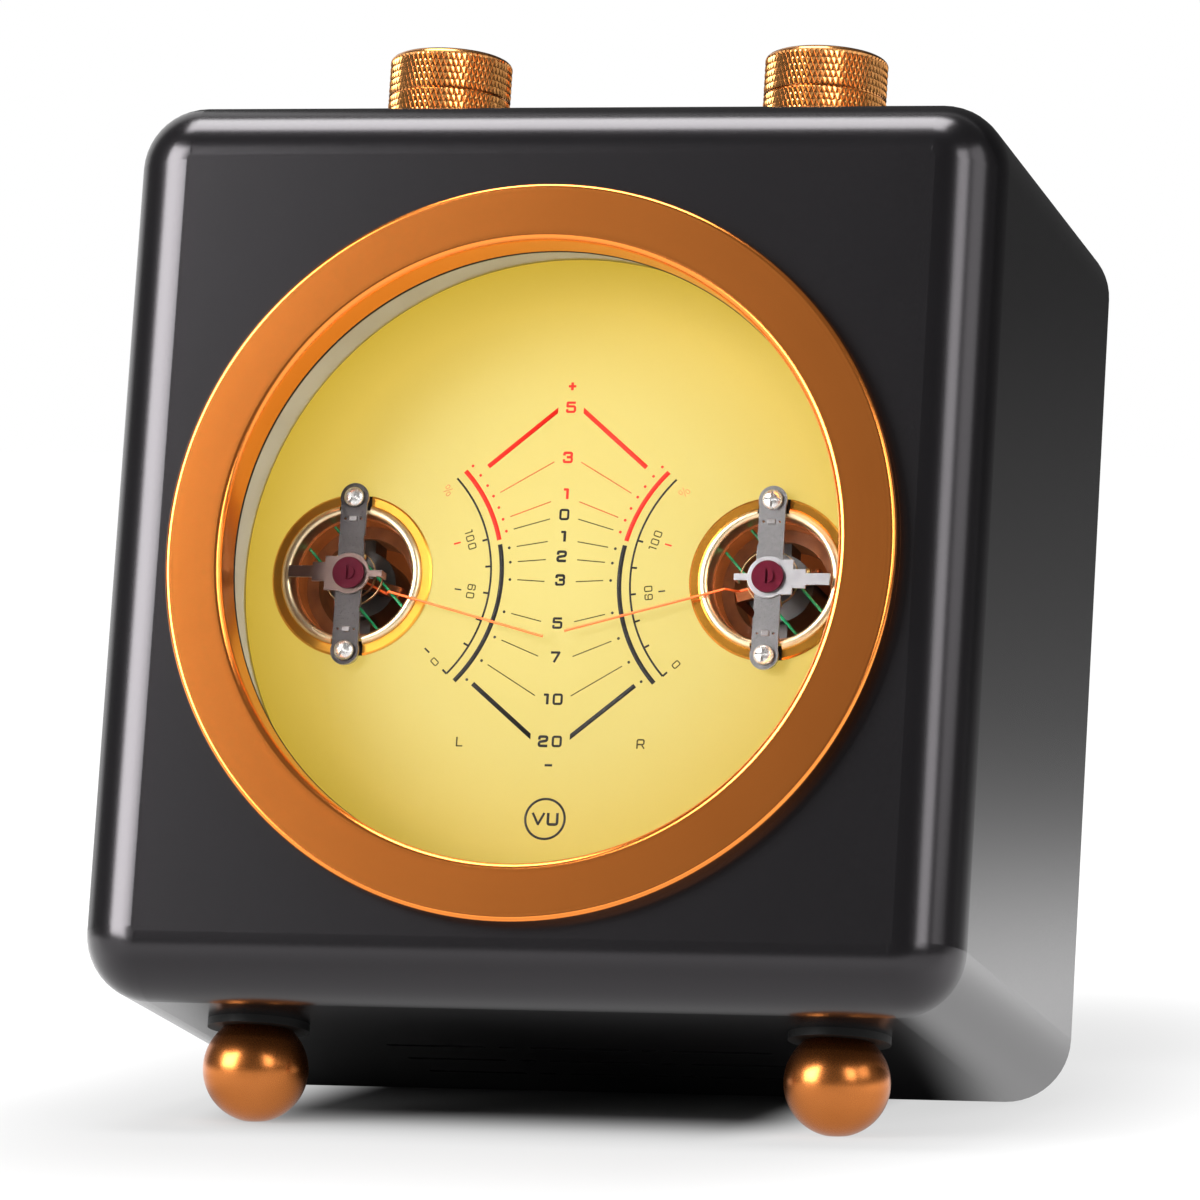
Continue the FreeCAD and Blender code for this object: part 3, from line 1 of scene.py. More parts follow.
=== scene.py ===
"""Looks of a desk-top meter: two needles face each other behind one round, backlit dial.

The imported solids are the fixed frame. New pieces are modelled upright, in millimetres, in the
case's own frame (X right, Y into the case, Z up, from the middle of the front's bottom edge),
and are then set into the leaning case by `CaseFrame`.
"""

import json
import logging
import math
from collections.abc import Callable, Iterator, Sequence
from contextlib import contextmanager
from dataclasses import dataclass, field, replace
from enum import Enum

import bmesh
import bpy
from mathutils import Matrix, Vector


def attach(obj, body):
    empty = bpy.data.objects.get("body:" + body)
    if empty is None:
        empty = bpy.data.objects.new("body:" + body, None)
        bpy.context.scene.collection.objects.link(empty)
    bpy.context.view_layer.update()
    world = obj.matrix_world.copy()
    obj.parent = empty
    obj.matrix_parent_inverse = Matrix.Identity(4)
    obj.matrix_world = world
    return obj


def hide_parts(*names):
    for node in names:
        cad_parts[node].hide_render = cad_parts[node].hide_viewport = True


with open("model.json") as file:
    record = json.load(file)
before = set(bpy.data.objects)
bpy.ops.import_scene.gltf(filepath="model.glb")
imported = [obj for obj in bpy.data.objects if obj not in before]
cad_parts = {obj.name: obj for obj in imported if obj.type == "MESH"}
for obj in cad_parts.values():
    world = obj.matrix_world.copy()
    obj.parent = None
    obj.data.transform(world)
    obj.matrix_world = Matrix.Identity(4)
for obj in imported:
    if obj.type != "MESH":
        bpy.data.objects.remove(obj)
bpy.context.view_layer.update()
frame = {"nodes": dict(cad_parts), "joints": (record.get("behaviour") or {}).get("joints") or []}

log = logging.getLogger("meter")

Piece = bpy.types.Object
Tree = bpy.types.NodeTree
Socket = bpy.types.NodeSocket
Inputs = dict[str | int, object]
Point = tuple[float, float]
Triple = tuple[float, float, float]
Colour = Triple

MM = 0.001
DIAL_HEIGHT = 57.9
DIAL_FACE = 15.15
DIAL_CENTRE = Vector((0, 0, DIAL_HEIGHT))
PIVOT_SPACING = 56.1
KNOB_SEAT = (-25.9, 38.1, 119.3)
WELD = 0.001
FACING = 0.9
FLAT_TURN = 0.8
ENDS = (-1, 1)
NOISE_SPAN = (0.3, 0.7)


class Side(Enum):
    """The two channels of the meter."""

    LEFT = -1
    RIGHT = 1

    @property
    def word(self) -> str:
        """Name used in node and body names."""
        return self.name.lower()

    @property
    def pivot(self) -> Vector:
        """Where this side's needle turns, on the plane of the case's front."""
        return Vector((self.value * PIVOT_SPACING / 2, 0, DIAL_HEIGHT))


class Axis(Enum):
    """Direction that a turned piece is spun about."""

    DEPTH = (0.0, 1.0, 0.0)
    HEIGHT = (0.0, 0.0, 1.0)


# ---------------------------------------------------------------- modelling steps
class CaseFrame:
    """Place of the upright case's frame, in millimetres, in the scene, in metres."""

    def __init__(self, joints: Sequence[dict]) -> None:
        """Work the place out from the left knob's joint.

        Args:
            joints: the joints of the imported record.
        """
        knob = next(joint for joint in joints if joint["name"] == "knob_turn_left")
        up = Vector(knob["axis"])
        lean = Matrix.Rotation(-math.atan2(up.y, up.z), 4, "X") @ Matrix.Scale(MM, 4)
        self.matrix = Matrix.Translation(Vector(knob["pos_m"]) - lean @ Vector(KNOB_SEAT)) @ lean

    def set_in(self, piece: Piece) -> None:
        """Move a piece's mesh from the upright frame into the case, its object at the origin."""
        piece.data.transform(piece.matrix_world)
        piece.matrix_world = Matrix.Identity(4)
        piece.data.transform(self.matrix)

    def point(self, x: float, y: float, z: float) -> Vector:
        """Scene point of a point of the upright frame."""
        return self.matrix @ Vector((x, y, z))


def deselect() -> None:
    """Leave object mode with nothing selected."""
    if bpy.context.object is not None and bpy.context.object.mode != "OBJECT":
        bpy.ops.object.mode_set(mode="OBJECT")
    bpy.ops.object.select_all(action="DESELECT")


def make_active(piece: Piece) -> None:
    """Select one object alone and make it the active one."""
    deselect()
    piece.select_set(True)
    bpy.context.view_layer.objects.active = piece


def placed(name: str, data: bpy.types.ID) -> Piece:
    """Put a mesh, curve, light or camera into the scene as a new object."""
    piece = bpy.data.objects.new(name, data)
    bpy.context.scene.collection.objects.link(piece)
    return piece


def joined(name: str, pieces: Sequence[Piece]) -> Piece:
    """Join pieces into the first one, under a new name."""
    make_active(pieces[0])
    for piece in pieces[1:]:
        piece.select_set(True)
    bpy.ops.object.join()
    pieces[0].name = name
    return pieces[0]


@contextmanager
def editing(piece: Piece, mode: str = "VERT", whole: bool = False) -> Iterator[None]:
    """Open a piece in edit mode.

    Args:
        piece: the mesh to edit.
        mode: VERT, EDGE or FACE.
        whole: whether all of it is selected at first, or nothing.
    """
    make_active(piece)
    bpy.ops.object.mode_set(mode="EDIT")
    bpy.ops.mesh.select_mode(type=mode)
    bpy.ops.mesh.select_all(action="SELECT" if whole else "DESELECT")
    yield
    bpy.ops.object.mode_set(mode="OBJECT")


def pick_vertices(piece: Piece, wanted: Callable[[Vector], bool]) -> None:
    """Select, in edit mode, the vertices whose place passes a test."""
    mesh = bmesh.from_edit_mesh(piece.data)
    for vertex in mesh.verts:
        vertex.select_set(wanted(vertex.co))
    bmesh.update_edit_mesh(piece.data)


def pick_faces(piece: Piece, wanted: Callable[[Vector, Vector], bool]) -> None:
    """Select, in edit mode, the faces whose centre and normal pass a test."""
    mesh = bmesh.from_edit_mesh(piece.data)
    for face in mesh.faces:
        face.select_set(wanted(face.calc_center_median(), face.normal))
    bmesh.update_edit_mesh(piece.data)


def curved(centre: Point, reach: Point, start: float, end: float, steps: int) -> list[Point]:
    """List the points of a round or oval curve.

    Args:
        centre: its middle.
        reach: its half width and half height.
        start: angle of its first point, in degrees.
        end: angle of its last point, in degrees.
        steps: how many lines it has.

    Returns:
        The points, one more than the steps.
    """
    turns = [math.radians(start + (end - start) * k / steps) for k in range(steps + 1)]
    return [(centre[0] + reach[0] * math.cos(turn), centre[1] + reach[1] * math.sin(turn))
            for turn in turns]


def turned(name: str, outline: Sequence[Point], axis: Axis, centre: Vector, steps: int,
           closed: bool = True) -> Piece:
    """Spin an outline of radius and travel into a solid of revolution.

    Args:
        name: name of the new piece.
        outline: points of radius and of place along the axis.
        axis: the axis it is spun about.
        centre: a point on that axis, from which travel is measured.
        steps: how many faces go round.
        closed: whether the outline's end joins its start.

    Returns:
        The new piece.
    """
    along = Vector(axis.value)
    points = [centre + Vector((radius, 0, 0)) + along * travel for radius, travel in outline]
    if closed:
        points.append(points[0])
    deselect()
    bpy.ops.mesh.primitive_plane_add(size=1)
    piece = bpy.context.object
    piece.name = name
    with editing(piece, whole=True):
        bpy.ops.mesh.merge(type="CENTER")
        bpy.ops.transform.translate(value=points[0])
        for start, end in zip(points, points[1:]):
            bpy.ops.mesh.extrude_region_move(TRANSFORM_OT_translate={"value": end - start})
        bpy.ops.mesh.select_all(action="SELECT")
        bpy.ops.mesh.spin(steps=steps, angle=2 * math.pi, center=centre, axis=along)
    with editing(piece, whole=True):
        bpy.ops.mesh.remove_doubles(threshold=WELD)
        bpy.ops.mesh.normals_make_consistent(inside=False)
    return piece


def apply_modifier(piece: Piece, kind: str, **settings: object) -> None:
    """Give a piece a modifier and apply it at once.

    Args:
        piece: the mesh.
        kind: the modifier's type.
        settings: its properties.
    """
    make_active(piece)
    modifier = piece.modifiers.new(kind.lower(), kind)
    for key, value in settings.items():
        setattr(modifier, key, value)
    bpy.ops.object.modifier_apply(modifier=modifier.name)


def soften(piece: Piece, width: float, segments: int = 2, angle: float = 50) -> None:
    """Break the sharp edges of a piece with small round bevels.

    Args:
        piece: the mesh.
        width: width of the bevel.
        segments: faces across it.
        angle: edges turned by more than this many degrees are bevelled.
    """
    apply_modifier(piece, "BEVEL", width=width, segments=segments, limit_method="ANGLE",
                   angle_limit=math.radians(angle), harden_normals=False, use_clamp_overlap=True)


def carve(piece: Piece, cutter: Piece) -> None:
    """Cut one mesh out of another and discard the cutter."""
    apply_modifier(piece, "BOOLEAN", operation="DIFFERENCE", object=cutter, solver="EXACT")
    bpy.data.objects.remove(cutter)


def smooth(piece: Piece, angle: float) -> None:
    """Shade a piece smooth, apart from sharp edges, and keep its broad faces flat.

    Args:
        piece: the mesh.
        angle: edges turned by more than this many degrees stay sharp.
    """
    make_active(piece)
    bpy.ops.object.shade_smooth_by_angle(angle=math.radians(angle))
    apply_modifier(piece, "WEIGHTED_NORMAL", mode="FACE_AREA", keep_sharp=True)


def block(name: str, middle: Vector, size: Sequence[float]) -> Piece:
    """Add a box round a point, as a tool or a start."""
    deselect()
    bpy.ops.mesh.primitive_cube_add(size=1, location=middle)
    piece = bpy.context.object
    piece.name = name
    piece.data.transform(Matrix.Diagonal((*size, 1)))
    return piece


def cad_copy(node: str, case: CaseFrame) -> Piece:
    """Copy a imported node, merged and with its flat faces joined, into the upright frame.

    Args:
        node: name of the node.
        case: place of the upright frame.

    Returns:
        The copy, in millimetres.
    """
    piece = placed(f"{node}_trim", frame["nodes"][node].data.copy())
    piece.data.materials.clear()
    piece.data.transform(case.matrix.inverted())
    make_active(piece)
    if piece.data.has_custom_normals:
        bpy.ops.mesh.customdata_custom_splitnormals_clear()
    with editing(piece, whole=True):
        bpy.ops.mesh.remove_doubles(threshold=WELD)
        bpy.ops.mesh.dissolve_limited(angle_limit=math.radians(FLAT_TURN))
    return piece


# ---------------------------------------------------------------- nodes of a shader
def feed(tree: Tree, node: bpy.types.Node, inputs: Inputs) -> None:
    """Link or set inputs of a node.

    Args:
        tree: the tree that it is in.
        node: the node.
        inputs: for the name or number of an input, a socket to link or a value to set.
    """
    for key, value in inputs.items():
        if isinstance(value, Socket):
            tree.links.new(value, node.inputs[key])
        else:
            node.inputs[key].default_value = value


def add_node(tree: Tree, kind: str, inputs: Inputs, **settings: object) -> bpy.types.Node:
    """Add a shader node.

    Args:
        tree: the tree that it goes into.
        kind: its type, without ShaderNode in front.
        inputs: its inputs, as `feed` takes them.
        settings: its properties.

    Returns:
        The node.
    """
    node = tree.nodes.new(f"ShaderNode{kind}")
    for key, value in settings.items():
        setattr(node, key, value)
    feed(tree, node, inputs)
    return node


def noise(tree: Tree, place: Socket, size: float, detail: float = 2.0) -> Socket:
    """Return a noise with marks of a size, in millimetres."""
    inputs = {"Vector": place, "Scale": 1 / (size * MM), "Detail": detail}
    return add_node(tree, "TexNoise", inputs).outputs["Fac"]


def ramp(tree: Tree, value: Socket, stops: Sequence[tuple[float, Colour]]) -> Socket:
    """Turn a value into a colour by a ramp of stops."""
    node = add_node(tree, "ValToRGB", {"Fac": value})
    elements = node.color_ramp.elements
    while len(elements) < len(stops):
        elements.new(1.0)
    for element, (place, colour) in zip(elements, stops):
        element.position = place
        element.color = (*colour, 1)
    return node.outputs["Color"]


def mapped(tree: Tree, value: Socket, limits: tuple[float, float | Socket],
           span: Point = (0.0, 1.0), interpolation: str = "LINEAR") -> Socket:
    """Map a value from a span onto two limits.

    Args:
        tree: the tree that the node goes into.
        value: the value.
        limits: what the span's ends become.
        span: the values that become the limits.
        interpolation: LINEAR or SMOOTHSTEP.

    Returns:
        The mapped value.
    """
    inputs = {"Value": value, "From Min": span[0], "From Max": span[1],
              "To Min": limits[0], "To Max": limits[1]}
    return add_node(tree, "MapRange", inputs, interpolation_type=interpolation).outputs["Result"]


def bumped(tree: Tree, height: Socket, distance: float) -> Socket:
    """Return the normal of a surface whose marks stand out by a distance, in millimetres."""
    inputs = {"Height": height, "Strength": 1.0, "Distance": distance * MM}
    return add_node(tree, "Bump", inputs).outputs["Normal"]


def component(tree: Tree, vector: Socket, axis: str) -> Socket:
    """Return one part, X, Y or Z, of a vector."""
    return add_node(tree, "SeparateXYZ", {"Vector": vector}).outputs[axis]


def vector_math(tree: Tree, operation: str, *values: Socket | Sequence[float]) -> Socket:
    """Work on vectors, each a socket or fixed, and return the vector or the number found."""
    node = add_node(tree, "VectorMath", dict(enumerate(values)), operation=operation)
    found = "Value" if operation in ("LENGTH", "DISTANCE", "DOT_PRODUCT") else "Vector"
    return node.outputs[found]


def math_node(tree: Tree, operation: str, first: Socket, second: Socket) -> Socket:
    """Join two values by a sum of one operation and return the result."""
    return add_node(tree, "Math", {0: first, 1: second}, operation=operation).outputs["Value"]


def new_material(name: str) -> tuple[bpy.types.Material, Tree, bpy.types.Node, Socket]:
    """Add a node-based material.

    Args:
        name: its name.

    Returns:
        The material, its tree, its shader and its object coordinates.
    """
    material = bpy.data.materials.new(name)
    material.use_nodes = True
    tree = material.node_tree
    place = add_node(tree, "TexCoord", {}).outputs["Object"]
    return material, tree, tree.nodes["Principled BSDF"], place


# ---------------------------------------------------------------- finishes
class Pattern(Enum):
    """How the fine marks of a surface run."""

    GRAIN = "even grain"
    TURNED = "rings about the dial's or a needle's axis"


@dataclass(frozen=True)
class Finish:
    """One surface finish, with its colour, gloss and fine marks, whose sizes are in millimetres."""

    name: str
    colour: Colour
    shade: Colour
    metallic: float = 0.0
    roughness: Point = (0.35, 0.45)
    grain: float = 0.15
    bump: float = 0.002
    patch: float = 6.0
    pattern: Pattern = Pattern.GRAIN
    specular: float = 0.5
    coat: float = 0.0
    coat_roughness: float = 0.1
    # glow is painted light: parts that have it shine though no lamp lights them
    glow: float = 0.0
    tint: Colour = (1.0, 1.0, 1.0)

    def recoloured(self, name: str, colour: Colour, shade: Colour, **others: object) -> "Finish":
        """Return this finish under another name and with other colours.

        Args:
            name: name of the new finish.
            colour: its colour.
            shade: its colour in patches.
            others: what else differs.

        Returns:
            The new finish.
        """
        return replace(self, name=name, colour=colour, shade=shade, **others)


class Palette:
    """Makes and keeps the materials of the meter."""

    def __init__(self, case: CaseFrame) -> None:
        """Keep the case's frame, in which turned marks are centred."""
        self.case = case
        self.made: dict[str, bpy.types.Material] = {}

    def material(self, finish: Finish, centre: Vector | None = None) -> bpy.types.Material:
        """Return the material of a finish, made once for each centre.

        Args:
            finish: the finish.
            centre: a point of the upright frame that turned marks run round.

        Returns:
            The node-based material.
        """
        name = finish.name if centre is None else f"{finish.name}_{round(centre.x)}"
        if name not in self.made:
            self.made[name] = self._build(name, finish, centre or DIAL_CENTRE)
        return self.made[name]

    def _build(self, name: str, finish: Finish, centre: Vector) -> bpy.types.Material:
        """Wire up one finish: mottled colour, uneven gloss and a fine bump."""
        material, tree, shader, place = new_material(name)
        patches = noise(tree, place, finish.patch, detail=3)
        colour = ramp(tree, patches, list(zip(NOISE_SPAN, (finish.colour, finish.shade))))
        lay = place if finish.pattern is Pattern.GRAIN else self._rings(tree, place, centre)
        marks = noise(tree, lay, finish.grain)
        feed(tree, shader, {
            "Base Color": colour, "Metallic": finish.metallic,
            "Roughness": mapped(tree, marks, finish.roughness, NOISE_SPAN),
            "Specular IOR Level": finish.specular, "Specular Tint": (*finish.tint, 1),
            "Coat Weight": finish.coat, "Coat Roughness": finish.coat_roughness,
            "Emission Strength": finish.glow, "Normal": bumped(tree, marks, finish.bump)})
        # painted light: an emission in the surface's own colour
        if finish.glow > 0:
            feed(tree, shader, {"Emission Color": colour})
        return material

    def _rings(self, tree: Tree, place: Socket, centre: Vector) -> Socket:
        """Return coordinates of radius and depth, for marks in rings round a centre."""
        upright = self.case.matrix.to_3x3().normalized().inverted()
        facing = Vector(Axis.DEPTH.value).rotation_difference(Vector(Axis.HEIGHT.value))
        turn = facing.to_matrix() @ upright
        inputs = {"Vector": place, "Rotation": turn.to_euler(),
                  "Location": -(turn @ self.case.point(*centre))}
        upturned = add_node(tree, "Mapping", inputs).outputs["Vector"]
        radius = vector_math(tree, "LENGTH", vector_math(tree, "MULTIPLY", upturned, (1, 1, 0)))
        rings = {"X": radius, "Y": component(tree, upturned, "Z")}
        return add_node(tree, "CombineXYZ", rings).outputs["Vector"]


CASE_BLACK = Finish("case_black", (0.0020, 0.0018, 0.0022), (0.0030, 0.0027, 0.0032),
                    roughness=(0.20, 0.245), grain=0.16, bump=0.0012, patch=20, specular=0.55,
                    tint=(1.0, 0.95, 1.0))
PANEL_BLACK = Finish("panel_black", (0.018, 0.018, 0.019), (0.023, 0.023, 0.024),
                     roughness=(0.38, 0.5), grain=0.14, bump=0.003, patch=15)
COPPER = Finish("bezel_copper", (0.98, 0.30, 0.058), (0.95, 0.288, 0.055), metallic=1,
                roughness=(0.175, 0.215), grain=0.07, bump=0.0003, patch=12, pattern=Pattern.TURNED)
KNOB_COPPER = Finish("knob_copper", (0.66, 0.30, 0.10), (0.60, 0.26, 0.078), metallic=1,
                     roughness=(0.16, 0.22), grain=0.05, bump=0.0005, patch=3)
FOOT_COPPER = Finish("foot_copper", (0.54, 0.177, 0.045), (0.51, 0.163, 0.039), metallic=1,
                     roughness=(0.24, 0.3), grain=0.06, bump=0.0004, patch=5)
RUBBER = Finish("black_rubber", (0.004, 0.004, 0.004), (0.007, 0.007, 0.007), specular=0.25,
                roughness=(0.45, 0.6), grain=0.2, bump=0.003)
# Lit and shaded copies of one brass: the left eyelet's is lighter, the right one's darker and
# glossier, for how the light falls on each.
BRASS_LEFT_LIT = Finish("eyelet_brass", (0.85, 0.37, 0.045), (0.76, 0.38, 0.06), metallic=1,
               roughness=(0.27, 0.33), grain=0.08, bump=0.0001, patch=3, pattern=Pattern.TURNED)
BRASS_RIGHT_SHADED = BRASS_LEFT_LIT.recoloured("eyelet_brass_bright", (0.62, 0.26, 0.032), (0.54, 0.22, 0.026),
                                roughness=(0.20, 0.24))
# Paler brass on the eyelets' rolled lips: a painted highlight.
LIP_PAINTED_HIGHLIGHT = Finish("eyelet_lip", (0.84, 0.66, 0.42), (0.74, 0.56, 0.34), metallic=1,
             roughness=(0.26, 0.34), grain=0.08, bump=0.0003, patch=2)
# Pale metal on the side faces of the straps and levers: a painted highlight on their edges.
EDGE_PAINTED_HIGHLIGHT = Finish("cut_edge", (0.70, 0.67, 0.64), (0.60, 0.57, 0.54), metallic=1,
                  roughness=(0.28, 0.38), grain=0.06, bump=0.0004, patch=1.5)
# Lit and shaded copies of one strap steel and one lever alloy: dark on the left, paler on the
# right, for how the light falls.
STRAP_SHADED_COPY = Finish("strap_steel", (0.088, 0.078, 0.077), (0.072, 0.064, 0.063), metallic=1,
               roughness=(0.27, 0.31), grain=0.08, bump=0.0002, patch=0.5)
# The pads take a lighter copy of the strap steel: a painted highlight.
TAB_PAINTED_LIGHT = STRAP_SHADED_COPY.recoloured("strap_tab", (0.34, 0.32, 0.32), (0.28, 0.26, 0.26))
STRAP_LIT_COPY = STRAP_SHADED_COPY.recoloured("strap_pale", (0.25, 0.236, 0.238), (0.21, 0.198, 0.20))
LEVER_SHADED_COPY = Finish("lever_alloy", (0.15, 0.103, 0.09), (0.13, 0.09, 0.08), metallic=1,
               roughness=(0.31, 0.40), grain=0.09, bump=0.001, patch=1.5)
LEVER_LIT_COPY = LEVER_SHADED_COPY.recoloured("lever_pale", (0.34, 0.325, 0.335), (0.30, 0.286, 0.295))
CHROME = Finish("chrome", (0.74, 0.72, 0.71), (0.66, 0.64, 0.63), metallic=1,
                roughness=(0.24, 0.32), grain=0.12, bump=0.0008, patch=0.8)
JEWEL = Finish("jewel_red", (0.062, 0.0045, 0.012), (0.078, 0.006, 0.015), specular=0.08,
               roughness=(0.20, 0.28), grain=0.1, bump=0.0008, patch=1.2)
DRUM = Finish("drum_grey", (0.52, 0.51, 0.47), (0.46, 0.45, 0.41),
              roughness=(0.45, 0.6), grain=0.25, bump=0.002, patch=8)
# The housing and the iron glow though no lamp lights them: painted light on the dark inside of the
# movements.
HOUSING_PAINTED_GLOW = Finish("housing_brown", (0.42, 0.11, 0.022), (0.30, 0.075, 0.014),
                 roughness=(0.35, 0.5), grain=0.15, bump=0.002, patch=4, glow=0.22)
IRON_PAINTED_GLOW = Finish("soft_iron", (0.32, 0.11, 0.035), (0.20, 0.065, 0.022), metallic=0.3,
              roughness=(0.4, 0.55), grain=0.12, bump=0.002, patch=2, glow=0.14)
CORE_STEEL = Finish("core_steel", (0.14, 0.13, 0.13), (0.11, 0.105, 0.105), metallic=1,
                    roughness=(0.32, 0.45), grain=0.07, bump=0.001, patch=2, pattern=Pattern.TURNED)
BRONZE = Finish("spring_bronze", (0.62, 0.40, 0.20), (0.54, 0.33, 0.15), metallic=1,
                roughness=(0.25, 0.35), grain=0.06, bump=0.0006, patch=1)
COIL = Finish("coil_copper", (0.27, 0.085, 0.032), (0.20, 0.06, 0.024), metallic=1,
              roughness=(0.3, 0.45), grain=0.07, bump=0.006, patch=1)
WEIGHT = BRONZE.recoloured("weight_brass", (0.72, 0.52, 0.22), (0.64, 0.45, 0.17))
STEEL = Finish("bright_steel", (0.62, 0.62, 0.62), (0.54, 0.54, 0.54), metallic=1,
               roughness=(0.22, 0.34), grain=0.08, bump=0.0008, patch=1.5)
BLACK_STEEL = Finish("black_steel", (0.03, 0.03, 0.032), (0.045, 0.045, 0.047), metallic=0.6,
                     roughness=(0.32, 0.46), grain=0.1, bump=0.001, patch=2)
NEEDLE = Finish("needle_orange", (0.95, 0.14, 0.02), (0.85, 0.11, 0.015),
                roughness=(0.35, 0.45), grain=0.1, bump=0.0006, patch=3)
WIRE = Finish("wire_green", (0.008, 0.256, 0.096), (0.0128, 0.384, 0.144),
              roughness=(0.12, 0.2), grain=0.2, bump=0.001, patch=1.5, coat=0.6)
BOARD = Finish("board_green", (0.015, 0.09, 0.035), (0.02, 0.11, 0.045),
               roughness=(0.3, 0.42), grain=0.3, bump=0.002, patch=5)
PARTS = Finish("parts_black", (0.02, 0.02, 0.021), (0.03, 0.03, 0.031),
               roughness=(0.4, 0.55), grain=0.15, bump=0.002, patch=2)
LAMP = Finish("lamp_white", (0.75, 0.74, 0.68), (0.68, 0.66, 0.58),
              roughness=(0.3, 0.4), grain=0.2, bump=0.001, patch=2)
GUIDE = Finish("guide_milk", (0.78, 0.78, 0.74), (0.72, 0.72, 0.68),
               roughness=(0.35, 0.45), grain=0.2, bump=0.001, patch=8)
NICKEL = Finish("nickel", (0.66, 0.62, 0.54), (0.58, 0.54, 0.47), metallic=1,
                roughness=(0.16, 0.26), grain=0.08, bump=0.0006, patch=2)
SOCKET_GOLD = NICKEL.recoloured("socket_gold", (0.86, 0.60, 0.24), (0.78, 0.52, 0.19),
                                roughness=(0.14, 0.24))
INK_BLACK = Finish("ink_black", (0.010, 0.009, 0.009), (0.014, 0.012, 0.011),
                   roughness=(0.6, 0.7), grain=0.1, bump=0.0002, patch=2, specular=0.15)
INK_RED = INK_BLACK.recoloured("ink_red", (0.72, 0.014, 0.006), (0.66, 0.012, 0.005))
INK_OLIVE = INK_BLACK.recoloured("ink_olive", (0.034, 0.024, 0.003), (0.045, 0.031, 0.004))
INK_RUST = INK_BLACK.recoloured("ink_rust", (0.45, 0.07, 0.012), (0.40, 0.06, 0.010))
INK_PALE = INK_BLACK.recoloured("ink_pale", (0.62, 0.18, 0.055), (0.57, 0.16, 0.05))

NODE_FINISHES: dict[str, Finish] = {
    "case_shell": CASE_BLACK, "rear_panel": PANEL_BLACK, "rear_panel_screws": BLACK_STEEL,
    "lens_gasket": RUBBER, "meter_drum": DRUM, "drum_screws": STEEL, "terminal_pins": SOCKET_GOLD,
    "light_guide": GUIDE, "backlight_board": BOARD, "backlight_leds": LAMP,
    "lead_wires": WIRE, "pot_washers": STEEL, "pot_nuts": NICKEL, "main_board": BOARD,
    "board_parts": PARTS, "board_screws": STEEL, "socket_block": PARTS,
    "socket_shells": SOCKET_GOLD, "power_socket": PARTS, "foot_washers": RUBBER,
    "foot_screws": STEEL,
}
PAIRED_FINISHES: dict[str, Finish] = {
    "movement_housing": HOUSING_PAINTED_GLOW, "yoke_ring": IRON_PAINTED_GLOW, "core_magnet": CORE_STEEL,
    "hairspring": BRONZE, "moving_coil": COIL, "staff": STEEL, "pointer": NEEDLE,
    "balance_arms": STEEL, "balance_weights": WEIGHT, "ball_foot": FOOT_COPPER,
    "grub_screw": BLACK_STEEL, "pot_body": NICKEL, "pot_shaft": STEEL,
}


def dress(piece: Piece, material: bpy.types.Material) -> None:
    """Give all of a piece one material."""
    if not piece.data.materials:
        piece.data.materials.append(material)
    for slot in piece.material_slots:
        slot.material = material


def paint_faces(piece: Piece, material: bpy.types.Material,
                wanted: Callable[[Vector, Vector], bool]) -> None:
    """Give the faces that pass a test a second material.

    Args:
        piece: a dressed mesh, still in the upright frame.
        material: the second material.
        wanted: test of a face's centre and normal.
    """
    piece.data.materials.append(material)
    with editing(piece, "FACE"):
        pick_faces(piece, wanted)
        piece.active_material_index = len(piece.data.materials) - 1
        bpy.ops.object.material_slot_assign()


def hand_over(piece: Piece, case: CaseFrame, body: str, slot: str, *nodes: str) -> None:
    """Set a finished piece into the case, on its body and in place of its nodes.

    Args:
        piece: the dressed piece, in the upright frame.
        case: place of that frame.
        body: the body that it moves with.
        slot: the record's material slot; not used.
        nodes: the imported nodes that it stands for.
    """
    case.set_in(piece)
    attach(piece, body)
    if nodes:
        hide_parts(*nodes)
    log.info("%s: %d faces, on %s", piece.name, len(piece.data.polygons), body)


# ---------------------------------------------------------------- bezel
@dataclass
class Bezel:
    """Copper ring round the lens, with two round edges and a neck into the case."""

    radius: float = 48.3
    bore: float = 40.7
    rise: float = 2.7
    outer_round: float = 0.7
    inner_round: float = 0.95
    neck_radius: float = 43.4
    neck_depth: float = 3.3
    edge: float = 0.06
    crease: float = 32
    steps: int = 224
    round_steps: int = 7

    def build(self, case: CaseFrame, palette: Palette) -> None:
        """Turn the ring, break its edges and set it on the case."""
        inner, outer, front = self.inner_round, self.outer_round, -self.rise
        outline = [
            (self.bore, self.neck_depth),
            *curved((self.bore + inner, front + inner), (-inner, -inner), 0, 90, self.round_steps),
            *curved((self.radius - outer, front + outer), (outer, outer), -90, 0, self.round_steps),
            (self.radius, 0), (self.neck_radius, 0), (self.neck_radius, self.neck_depth)]
        ring = turned("bezel", outline, Axis.DEPTH, DIAL_CENTRE, self.steps)
        soften(ring, self.edge)
        smooth(ring, self.crease)
        dress(ring, palette.material(COPPER))
        hand_over(ring, case, "case", "copper", "bezel_ring")


